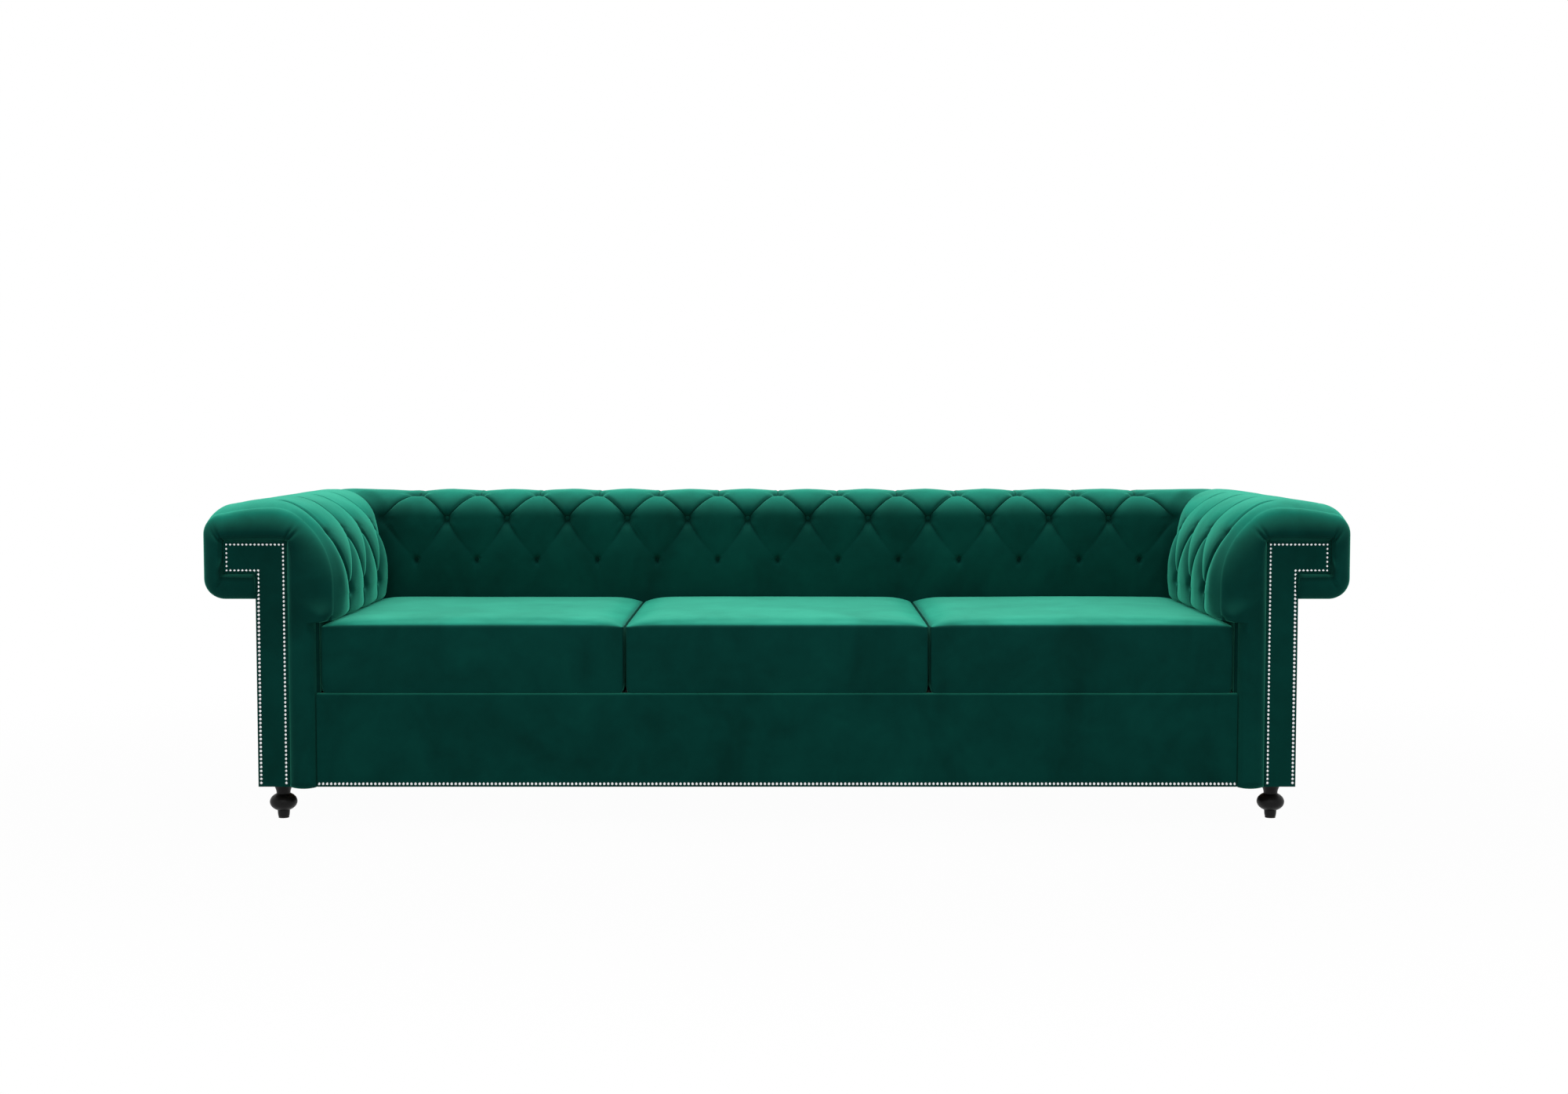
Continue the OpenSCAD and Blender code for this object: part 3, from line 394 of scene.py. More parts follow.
finishes = {
    "velvet": velvetFinish("greenVelvet"),
    # the buttons take the velvet painted darker, as painted shade
    "button_velvet": velvetFinish("shadedButtonVelvet", 0.75),
    "nails": metalFinish("nickelNails", (0.78, 0.79, 0.80), 0.20, 0.25),
    "plywood": woodFinish("plywood", (0.66, 0.49, 0.30), (0.45, 0.30, 0.16), (3.0, 3.0, 0.4), 120.0),
    "timber": woodFinish("pineTimber", (0.62, 0.42, 0.22), (0.40, 0.23, 0.10), (0.35, 3.0, 3.0)),
    "spring_steel": metalFinish("springSteel", (0.42, 0.43, 0.45), 0.38, 0.45),
    "felt": clothFinish("seatFelt", (0.17, 0.17, 0.165), (0.06, 0.06, 0.058), 420.0, 0.95, 0.6),
    "dust_cloth": clothFinish("dustCloth", (0.035, 0.035, 0.037), (0.010, 0.010, 0.011), 650.0, 0.9, 0.4),
    "foot_lacquer": lacquerFinish("blackLacquer"),
    "glide": clothFinish("glideFelt", (0.10, 0.095, 0.09), (0.035, 0.033, 0.03), 900.0, 0.95, 0.5),
    "foam": foamFinish("seatFoam"),
    "zip_metal": metalFinish("zipMetal", (0.62, 0.62, 0.60), 0.28, 0.35),
}
print("finishes made:", len(finishes))


def paintSheen(bm, pile):
    # painted sheen: cloth is painted paler the more it faces up; where a rim is marked, the padded border's curve is
    # used
    bm.normal_update()
    paintedSheen = bm.verts.layers.float.new("paintedSheen")
    rim, paintedShade = bm.verts.layers.float.get("rim"), bm.verts.layers.float.get("paintedShade")
    bm.verts.index_update()
    near = [[edge.other_vert(vert).index for edge in vert.link_edges] for vert in bm.verts]
    tilts = [vert.normal.z for vert in bm.verts]
    for _ in range(sheenPaint[pile][3]):
        tilts = [0.5 * tilts[i] + 0.5 * sum(tilts[n] for n in ns) / max(1, len(ns)) for i, ns in enumerate(near)]

    def sheenShare(kind, tilt):
        low, power, share, _ = sheenPaint[kind]
        return share * max(0.0, (tilt - low) / (1.0 - low)) ** power

    for vert, tilt in zip(bm.verts, tilts):
        amount = sheenShare(pile, tilt)
        if rim:
            amount += (sheenShare("border", tilt) - amount) * vert[rim]
        # painted sheen is taken away where painted shade lies in a crease
        vert[paintedSheen] = amount * (1.0 - velvetLook["shadeCutsSheen"] * vert[paintedShade]) if paintedShade else amount
    if rim:
        bm.verts.layers.float.remove(rim)


def addPiece(bm, name, slot, body, stands=(), sharpOver=None, pile="plain"):
    # turns a bmesh into a named piece that rides its body and stands for CAD nodes
    if sharpOver:
        for edge in bm.edges:
            if len(edge.link_faces) == 2 and edge.calc_face_angle(0.0) > math.radians(sharpOver):
                edge.smooth = False
    for face in bm.faces:
        face.smooth = True
    # velvet gets its painted sheen here, of the kind named by pile
    if slot.endswith("velvet"):
        paintSheen(bm, pile)
    mesh = bpy.data.meshes.new(name)
    bm.to_mesh(mesh)
    bm.free()
    mesh.materials.append(finishes[slot])
    piece = bpy.data.objects.new(name, mesh)
    bpy.context.scene.collection.objects.link(piece)
    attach(piece, body)
    if stands:
        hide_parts(*stands)
    return piece


# The sofa's own measures, as its frame has them

sofa = {
    "halfSeat": 1.000,                   # from the middle to the inner line of an arm
    "seatDepth": 0.645,
    "frontY": -0.454,                    # the plane of the arm facings
    "seat": 0.285,                       # top of the deck
    "cushionTop": 0.435,
    "faceFoot": 0.440,                   # the pads' faces start here
    "coverFoot": 0.079,                  # lower edge of the covers
    "rollFoot": 0.491,
    "crest": 0.708,
    "headFoot": 0.506,
    "woodTop": 0.662,
    "gap": 0.0003,
    "mitre": 1.1,                        # depth over width of the line where an arm meets the back
    "mitreGap": 0.0005,
}
gap = sofa["gap"]
sides = (("left", -1), ("right", 1))


def smoothStep(t):
    # rises smoothly from 0 to 1 while t does
    t = min(1.0, max(0.0, t))
    return t * t * (3.0 - 2.0 * t)


def between(a, b, t):
    return (a[0] + (b[0] - a[0]) * t, a[1] + (b[1] - a[1]) * t)


def along(points, t):
    # place on a row of points, counted in points
    i = min(len(points) - 2, max(0, int(t)))
    return between(points[i], points[i + 1], t - i)


# Tufted pads.
# A profile runs through 22 stations: 1 at the cushion top, 3, 5 and 7 at the button rows,
# 8 on the crest, 10 to 12 and 13 to 15 round the roll's outer corners, 16 to 21 inside on the wood.

backPad = {
    "reach": 0.275, "post": 0.156, "swell": 0.010, "lean": 0.008, "low": 0.100, "high": 0.203,
    "pitch": 0.150, "last": 6, "rows": 2, "fade": 11.5,
    "fine": 24,                          # mesh rows from one button row to the next
    "foldDepth": 0.008, "valley": 0.016, "puff": 0.003, "bow": 0.08,
    "buttonDepth": (0.021, 0.021), "pits": (0.0090, 0.0130, 0.0165),
    "shades": (0.0075, 0.0090, 0.0135),  # how far the shade of each row's pits goes
    "slit": 1.7,                         # the lowest pits are this much narrower than high
    "softBelow": 1.0, "softAbove": 1.0, "fadeBelow": 2.2,
    "creases": (0.0, 0.03, 0.85, 0.7),   # strength of the fold lines and of their painted shade below the rows, between them and over the crest
    "creaseEnd": 11.0,
    "folds": (0.40, 0.55, 1.0),          # share of the fold depth below the rows, on the lowest and on the highest
}
armPad = {
    "reach": 0.250, "post": 0.136, "low": 0.062, "high": 0.200,
    "pitch": 0.158, "first": 0.143, "last": 3, "rows": 1, "fade": 8.8,
    "fine": 28,
    "foldDepth": 0.011, "valley": 0.012, "puff": 0.0055,
    "buttonDepth": (0.044, 0.022), "pits": (0.0140, 0.0095), "shades": (0.0090, 0.0090), "slit": 1.0,
    "softBelow": 0.4, "softAbove": 2.0, "fadeBelow": 1.2,
    "oval": (0.100, 0.520, 0.044),       # middle of the oval that the inner face follows, and how far in it bulges
    "creases": (0.6, 0.8, 0.9, 0.8),
    "creaseEnd": 8.1,
    "folds": (0.8, 1.0, 1.0),
}
rollShape = {
    "radius": 0.045, "nose": 0.112, "fall": 0.012, "foot": 0.0015, "wrap": 0.032, "side": 0.026, "turn": 131.0,
}
tufting = {
    "clear": 0.016,                      # a fold's line fades this near to a button
    "groove": (0.0028, 0.0022),          # depth and width of the line along a fold
    "lip": (0.0012, 0.0065, 0.0040),     # height, place beside the line and width of its lip
    "line": 0.0019,                      # width of its line of painted shade
    "twin": (0.0022, 0.0075, 0.0020),    # depth, place and width of a second fold beside some
    "ripple": (0.0008, 0.018, 0.011),    # height, distance and width of the gathers round a button
    "mitreReach": 0.045,                 # the tufting fades this near to the mitre
    "mitreDepth": 0.010,
    # strength and reach of the painted shade where an arm meets the back
    "mitreCrease": (0.6, 0.012),
    "uneven": 0.0012,
    "stray": 0.0018,
}
facing = {
    "outIn": 0.067, "outOut": 0.205, "post": 0.136, "low": 0.547, "top": 0.618, "thick": 0.0137, "edge": 0.0022,
    "rings": ((0.0015, 0.0), (0.0020, -0.0004), (0.0035, 0.0002), (0.0040, 0.0005)),    # widths and heights
}
armFront = {
    "fall": 0.018, "inner": 0.007, "proud": 0.012, "fuller": 0.004, "round": 0.0254,
    "easing": 0.095, "easingPower": 2.6,     # depth over which the pad falls and draws in to the front
    "tuftFrom": 0.050, "unevenFrom": 0.030,  # how soon behind the front the tufting and the unevenness set in
    "drawIn": 0.014, "ahead": 0.15, "dip": 0.020, "tuck": 0.004, "tuckPower": 2.2, "uneven": 0.0014,
    "roundAcross": 0.078, "roundStrip": 0.016, "gather": 0.0075, "footSag": 0.0032, "footHeight": 0.010,
    # station, lean, depth of each gather
    "gathers": ((5.75, 0.25, 1.0), (6.35, -0.15, 0.8), (10.75, 0.2, 0.9), (11.3, -0.2, 1.0), (14.1, 0.3, 1.0)),
}


def crestOut(pad):
    # how far out the crest lies
    if "oval" in pad:
        return pad["oval"][0]
    swell = pad["swell"] * math.sin(math.radians(rollShape["turn"]))
    return rollShape["foot"] + pad["lean"] - swell + rollShape["nose"]


def facePoint(pad, s, high, crest):
    # stations 1 to 8: the face of a pad, up to its crest
    foot, zFrom = rollShape["foot"], sofa["faceFoot"]
    zLow, zHigh = sofa["cushionTop"] + pad["low"], sofa["cushionTop"] + high
    z = zFrom + (zLow - zFrom) * (s - 1.0) / 2.0 if s <= 3.0 else zLow + (zHigh - zLow) * (s - 3.0) / 2.0
    if "oval" not in pad:
        if s <= 5.0:
            t = (z - zFrom) / (zHigh - zFrom)
            return (foot + pad["lean"] * t - pad["swell"] * math.sin(math.radians(rollShape["turn"]) * t), z)
        a = math.radians(33.0 * (s - 5.0) if s <= 7.0 else 66.0 + 24.0 * (s - 7.0))
        return (crestOut(pad) - rollShape["nose"] * math.cos(a), zHigh + (crest - zHigh) * math.sin(a))
    middle, level, bulge = pad["oval"]
    if s > 5.0:
        a = math.asin((zHigh - level) / (crest - level))
        a += (math.pi / 2.0 - a) * (s - 5.0) / 3.0
        return (middle - (middle + bulge) * math.cos(a), level + (crest - level) * math.sin(a))
    if z < level:
        t = (level - z) / (level - zFrom)
        return (foot - (foot + bulge) * math.sqrt(max(0.0, 1.0 - t ** 11)), z)
    t = (z - level) / (crest - level)
    return (middle - (middle + bulge) * math.sqrt(1.0 - t * t), z)


def profilePoint(pad, s, high, crest):
    foot, r, fall = rollShape["foot"], rollShape["radius"], rollShape["fall"]
    corner, shoulder, low = pad["reach"] - r, crest - fall - r, sofa["rollFoot"] + r
    if s <= 1.0:
        return (foot, sofa["seat"] + (sofa["faceFoot"] - sofa["seat"]) * s)
    if s <= 8.0:
        return facePoint(pad, s, high, crest)
    if s <= 10.0:
        t, start = (s - 8.0) / 2.0, crestOut(pad)
        return (start + (corner - start) * t, crest - fall * t * t)
    if s <= 12.0:
        a = math.radians(90.0 - 45.0 * (s - 10.0))
        return (corner + r * math.cos(a), shoulder + r * math.sin(a))
    if s <= 13.0:
        return (pad["reach"], shoulder + (low - shoulder) * (s - 12.0))
    if s <= 15.0:
        a = math.radians(-45.0 * (s - 13.0))
        return (corner + r * math.cos(a), low + r * math.sin(a))
    inside = [
        (corner, sofa["rollFoot"]), (pad["post"] + gap, sofa["rollFoot"]),
        (pad["post"] + gap, sofa["headFoot"] - gap), (pad["reach"] - rollShape["side"], sofa["headFoot"] - gap),
        (pad["reach"] - rollShape["side"], sofa["woodTop"] + gap), (rollShape["wrap"], sofa["woodTop"] + gap),
        (rollShape["wrap"], sofa["seat"]), (foot, sofa["seat"]),
    ]
    return along(inside, s - 15.0)


def profileRows(counts):
    # counts: (station, rows up to it) pairs
    rows, at = [0.0], 0.0
    for to, n in counts:
        rows += [at + (to - at) * (i + 1) / n for i in range(n)]
        at = to
    return rows


def inwards(line, i):
    # the direction into the padding at point i of a profile
    a, b = line[max(i - 1, 0)], line[min(i + 1, len(line) - 1)]
    dx, dz = b[0] - a[0], b[1] - a[1]
    length = math.hypot(dx, dz) or 1.0
    return (dz / length, -dx / length)


def offLine(value):
    # signed distance from the nearest whole number
    return value - math.floor(value + 0.5)


def bowed(pad, s):
    # folds bend outwards between the button rows, so the rows of the cover are spaced to suit
    row = (s - 3.0) / 2.0
    return s - 2.0 * pad["bow"] * math.sin(math.pi * row) if 0.0 < row < pad["rows"] else s


def buttonDepth(pad, s):
    # how deep the buttons sit, on the lowest row and on the highest
    low, high = pad["buttonDepth"]
    return low + (high - low) * min(1.0, max(0.0, (s - 3.0) / (2.0 * pad["rows"])))


def foldLine(d, index, row, away, strength):
    # depth and painted shade at d metres beside a fold: its line, its lip and the second fold that some have
    deep, wide = tufting["groove"]
    high, place, broad = tufting["lip"]
    nearButton = 1.0 - math.exp(-(away / tufting["clear"]) ** 2)
    groove, lip = math.exp(-abs(d) / wide), math.exp(-((d - place) / broad) ** 2)
    depth = strength * nearButton * (deep * groove - high * lip)
    deep, place, wide = tufting["twin"]
    twin = strength * smoothStep(4.0 * noise.noise(Vector((index * 3.7, 0.5, 2.0))))
    wander = 0.003 * math.sin(3.0 * row)
    twin *= math.exp(-abs(d - place - wander) / wide) * smoothStep((away - 0.012) / 0.03)
    return depth + deep * twin, max(strength * math.exp(-abs(d) / tufting["line"]), 0.8 * twin)


def tuft(pad, k, s, rise, firstFold=False):
    # depth and painted shade of the tufting at k button spacings along and station s
    rows, row, last = pad["rows"], (s - 3.0) / 2.0, 3.0 + 2.0 * pad["rows"]
    held = min(max(row, 0.0), float(rows))
    a, b = k + held / 2.0, k - held / 2.0
    nearA, nearB = offLine(a), offLine(b)
    if firstFold and a < 0.0:            # smooth in front of the first fold
        nearA = nearB = max(a, -0.5)
    below, lower, upper, above = pad["creases"]
    foldBelow, foldLow, foldHigh = pad["folds"]
    if row < 0.0:
        soft, fade = pad["softBelow"], max(0.0, s / 3.0) ** pad["fadeBelow"]
        weight, strength = (foldBelow + (foldLow - foldBelow) * smoothStep(s - 2.0)) * fade, below * fade
    elif s > last:
        soft, fade = smoothStep((s - last) / pad["softAbove"]), smoothStep((pad["fade"] - s) / (pad["fade"] - last))
        left = pad["creaseEnd"] - s
        weight = foldHigh * fade ** 1.3
        strength = above * (0.8 * smoothStep(left / 0.5) + 0.2 * smoothStep((left + 1.6) / 2.0))
    else:
        climb = smoothStep((row - 0.35) / 0.75) if rows > 1 else 1.0
        soft = 1.0 - climb
        weight, strength = foldLow + (foldHigh - foldLow) * climb, lower + (upper - lower) * climb
    slant = 1.0 / math.hypot(1.0 / pad["pitch"], 0.5 / rise)
    outside = smoothStep(max(-row, row - rows) / 0.25)
    metres = slant + (pad["pitch"] - slant) * outside

    def fold(width):
        return 1.0 - (1.0 - math.exp(-abs(nearA) * metres / width)) * (1.0 - math.exp(-abs(nearB) * metres / width))

    dome = math.sqrt(abs(math.sin(math.pi * nearA) * math.sin(math.pi * nearB)))
    narrow = 0.38 * (1.0 - 0.8 * soft)
    shape = (1.0 - narrow) * fold(pad["valley"] * (1.0 + soft)) + narrow * fold(pad["valley"] * 0.28)
    depth = weight * (pad["foldDepth"] * shape - pad["puff"] * dome * smoothStep((7.8 - s) / 1.2))
    r0 = min(rows, max(0, round(row)))   # the nearest button's row
    across, up = offLine(k - r0 / 2.0) * pad["pitch"], (row - r0) * rise
    away = math.hypot(across, up)
    if firstFold and k - r0 / 2.0 < -0.75 * (1 if r0 else 0.5) - 0.25 * r0:
        away = 1.0
    paintedShade = 0.0
    folds = ((nearA * metres, math.floor(a + 0.5)), (-nearB * metres, math.floor(b + 0.5) + 40.5))
    for d, index in folds[:1 if outside else 2]:
        lineDepth, lineShade = foldLine(d, index, row, away, strength)
        depth, paintedShade = depth + lineDepth, max(paintedShade, lineShade)
    if r0 == 0 and pad["slit"] > 1.0:    # the lowest buttons sit in upright slits
        away = math.hypot(across * pad["slit"], up)
    depth += (buttonDepth(pad, s) - weight * pad["foldDepth"]) * math.exp(-(away / pad["pits"][r0]) ** 2)
    if away < 0.07:
        high, place, broad = tufting["ripple"]
        gathers = math.cos(9.0 * math.atan2(up, across) + 1.3 * k)
        depth += high * math.exp(-((away - place) / broad) ** 2) * gathers
    return depth, max(paintedShade, min(1.0, 1.3 * math.exp(-(away / pad["shades"][r0]) ** 2)))


def byHand(x, y, z, amount):
    # hand-laid folds are never quite straight
    return amount * noise.noise(Vector((x, y, z)) * 14.0)


def gridOf(bm, columns, rows, place):
    # a grid whose vertex at column i and row j goes to place(i, j)
    bmesh.ops.create_grid(bm, x_segments=columns - 1, y_segments=rows - 1, size=1.0)
    table = [[None] * rows for _ in range(columns)]
    for vert in bm.verts:
        i = round((vert.co.x + 1.0) / 2.0 * (columns - 1))
        j = round((vert.co.y + 1.0) / 2.0 * (rows - 1))
        table[i][j] = vert
    for i in range(columns):
        for j in range(rows):
            table[i][j].co = place(i, j)
    return table


def splitAlongFolds(bm, table, onFold):
    # the diagonal of a cell lies along the fold that crosses it
    columns, rows = len(table), len(table[0])
    for i in range(columns - 1):
        for j in range(rows - 1):
            for p, q in (((i, j), (i + 1, j + 1)), ((i, j + 1), (i + 1, j))):
                if onFold.get(p, 0) & onFold.get(q, 0):
                    a, b = table[p[0]][p[1]], table[q[0]][q[1]]
                    shared = set(a.link_faces) & set(b.link_faces)
                    if shared:
                        _, loop = bmesh.utils.face_split(shared.pop(), a, b)
                        loop.edge.smooth = False
                    break


def foldMark(k, s, rows):
    # 1 on a fold that leans one way, 2 on one that leans the other way, 3 on both
    row = (s - 3.0) / 2.0
    if row < rows - 1 - 1e-6 or row > rows + 1e-6:
        return 0
    return (1 if abs(offLine(k + row / 2.0)) < 1e-4 else 0) + (2 if abs(offLine(k - row / 2.0)) < 1e-4 else 0)


def meetMitre(depth, paintedShade, s, left):
    # the tufting gives way to a plain trough where an arm and the back meet, left metres from here, with painted shade
    # along it
    near = 1.0 - smoothStep(left / tufting["mitreReach"])
    strength, reach = tufting["mitreCrease"]
    trough = tufting["mitreDepth"] * smoothStep(s / 2.0) * smoothStep((14.0 - s) / 3.0)
    paintedShade = max(paintedShade * (1.0 - near), strength * smoothStep(1.0 - left / reach))
    return depth * (1.0 - near) + trough * near, paintedShade, near


def roughen(point, amount):
    # slight unevenness of hand-stuffed padding
    return amount * (noise.noise(Vector(point) * 9.0) + 0.45 * noise.noise(Vector(point) * 26.0))


def riseOf(line, stations, pad):
    # metres of cover from one button row to the next, below and above the middle row
    lengths = []
    for r in range(pad["rows"]):
        inside = [i for i, s in enumerate(stations) if 3.0 + 2.0 * r <= s <= 5.0 + 2.0 * r]
        lengths.append(sum(math.dist(line[i], line[i + 1]) for i in inside[:-1]))
    return lengths


def riseAt(rises, s):
    return rises[0] if s < 5.0 else rises[-1]


def closeTube(bm):
    # joins the seam under the pad, caps both ends and turns the skin outwards
    bmesh.ops.remove_doubles(bm, verts=bm.verts[:], dist=0.00002)
    bmesh.ops.holes_fill(bm, edges=[e for e in bm.edges if e.is_boundary], sides=0)
    bmesh.ops.dissolve_degenerate(bm, edges=bm.edges[:], dist=0.000005)
    bmesh.ops.recalc_face_normals(bm, faces=bm.faces[:])


def makeBackCover():
    pad, fine = backPad, backPad["fine"]
    stations = profileRows((
        (1, 5), (3, 16), (5, fine), (7, fine), (8, 8), (10, 12), (12, 12), (13, 8), (15, 10), (16, 5), (22, 6),
    ))
    line = [profilePoint(pad, bowed(pad, s), pad["high"], sofa["crest"]) for s in stations]
    rises = riseOf(line, stations, pad)
    endK = (sofa["halfSeat"] - pad["swell"]) / pad["pitch"]
    half = [i / (2.0 * fine) for i in range(int(2 * fine * (pad["last"] + 0.5)) + 1)]
    tail = half[-1]
    half += [tail + (endK - tail) * t for t in (0.2, 0.4, 0.55, 0.7, 0.8, 0.9, 0.96, 1.0)]
    columns = [-k for k in reversed(half[1:])] + half
    lastAt = pad["last"] * pad["pitch"]
    bm = bmesh.new()
    paintedShadeLayer = bm.verts.layers.float.new("paintedShade")
    creases, onFold = {}, {}

    def place(i, j):
        k, s = columns[i], stations[j]
        out, up = line[j]
        side = -1.0 if k < 0.0 else 1.0
        endAt = sofa["halfSeat"] + out / sofa["mitre"] - sofa["mitreGap"]
        beyond = max(0.0, (abs(k) - pad["last"]) / (endK - pad["last"]))
        x = abs(k) * pad["pitch"] if abs(k) <= pad["last"] else lastAt + (endAt - lastAt) * beyond
        if s <= 16.0:
            depth, paintedShade = tuft(pad, abs(k), s, riseAt(rises, s))
            depth, creases[(i, j)], near = meetMitre(depth, paintedShade, s, endAt - x)
            depth += roughen((side * x, out, up), tufting["uneven"])
            n = inwards(line, j)
            stray = byHand(side * x, 1.0, up, tufting["stray"]) * (1.0 - near)
            out, up = out + n[0] * depth, up + n[1] * depth
            x += near * n[0] * depth / sofa["mitre"] + side * stray
        mark = foldMark(k, s, pad["rows"])
        if mark:
            onFold[(i, j)] = mark
        return (side * x, sofa["frontY"] + sofa["seatDepth"] + out, up)

    table = gridOf(bm, len(columns), len(stations), place)
    # painted shade of the folds, pits and mitre goes on the cloth as a vertex mark
    for (i, j), paintedShade in creases.items():
        table[i][j][paintedShadeLayer] = paintedShade
    splitAlongFolds(bm, table, onFold)
    closeTube(bm)
    cover = addPiece(bm, "back_cover", "velvet", "frame", ["back_pad"], pile="back")


makeBackCover()
print("back cover tufted")


def edgePoint(s):
    # outer line of the padded border round an arm's front
    high, crest = armPad["high"] - armFront["fall"] / 2.0, sofa["crest"] - armFront["fall"]
    if s >= 1.0:
        out, up = profilePoint(armPad, s, high, crest)
        out += (armFront["inner"] - rollShape["foot"]) * (1.0 - smoothStep((s - 1.0) / 0.6))
        return (out + armFront["drawIn"] * smoothStep((s - 1.0) / 0.4) * (1.0 - smoothStep((s - 5.5) / 2.5)), up)
    low = sofa["coverFoot"] - gap
    return (armFront["inner"], low + (sofa["faceFoot"] - low) * s)


def panelPoint(s):
    # the facing panel's edge, opposite station s of the border's outer line
    lines = [edgePoint(float(i)) for i in range(17)]
    o0, o1 = facing["outIn"] - gap, facing["outOut"] + gap
    z0, z1 = facing["low"] - gap, facing["top"] + gap
    marks = [(o0, lines[i][1]) for i in range(5)]
    marks += [(o0, min(lines[5][1], z1) - 0.020), (o0, z1), ((o0 + lines[8][0]) / 2.0, z1)]
    marks += [(o, z1) for o in (lines[8][0], lines[9][0], lines[10][0] - 0.010, o1)]
    marks += [(o1, z0 + (z1 - z0) * t) for t in (2.0 / 3.0, 1.0 / 3.0, 0.0)]
    marks += [((o1 + armPad["post"]) / 2.0, z0), (armPad["post"] + gap, z0)]
    return along(marks, s)


def borderCrease(s, w):
    # gathers that run from the panel's corners across the border
    total = 0.0
    for at, lean, deep in armFront["gathers"]:
        line = at + lean * (1.0 - w)
        total += deep * math.exp(-((s - line) / 0.09) ** 2) * smoothStep((w - 0.25) / 0.45) * (1.0 - 0.5 * w)
    return total


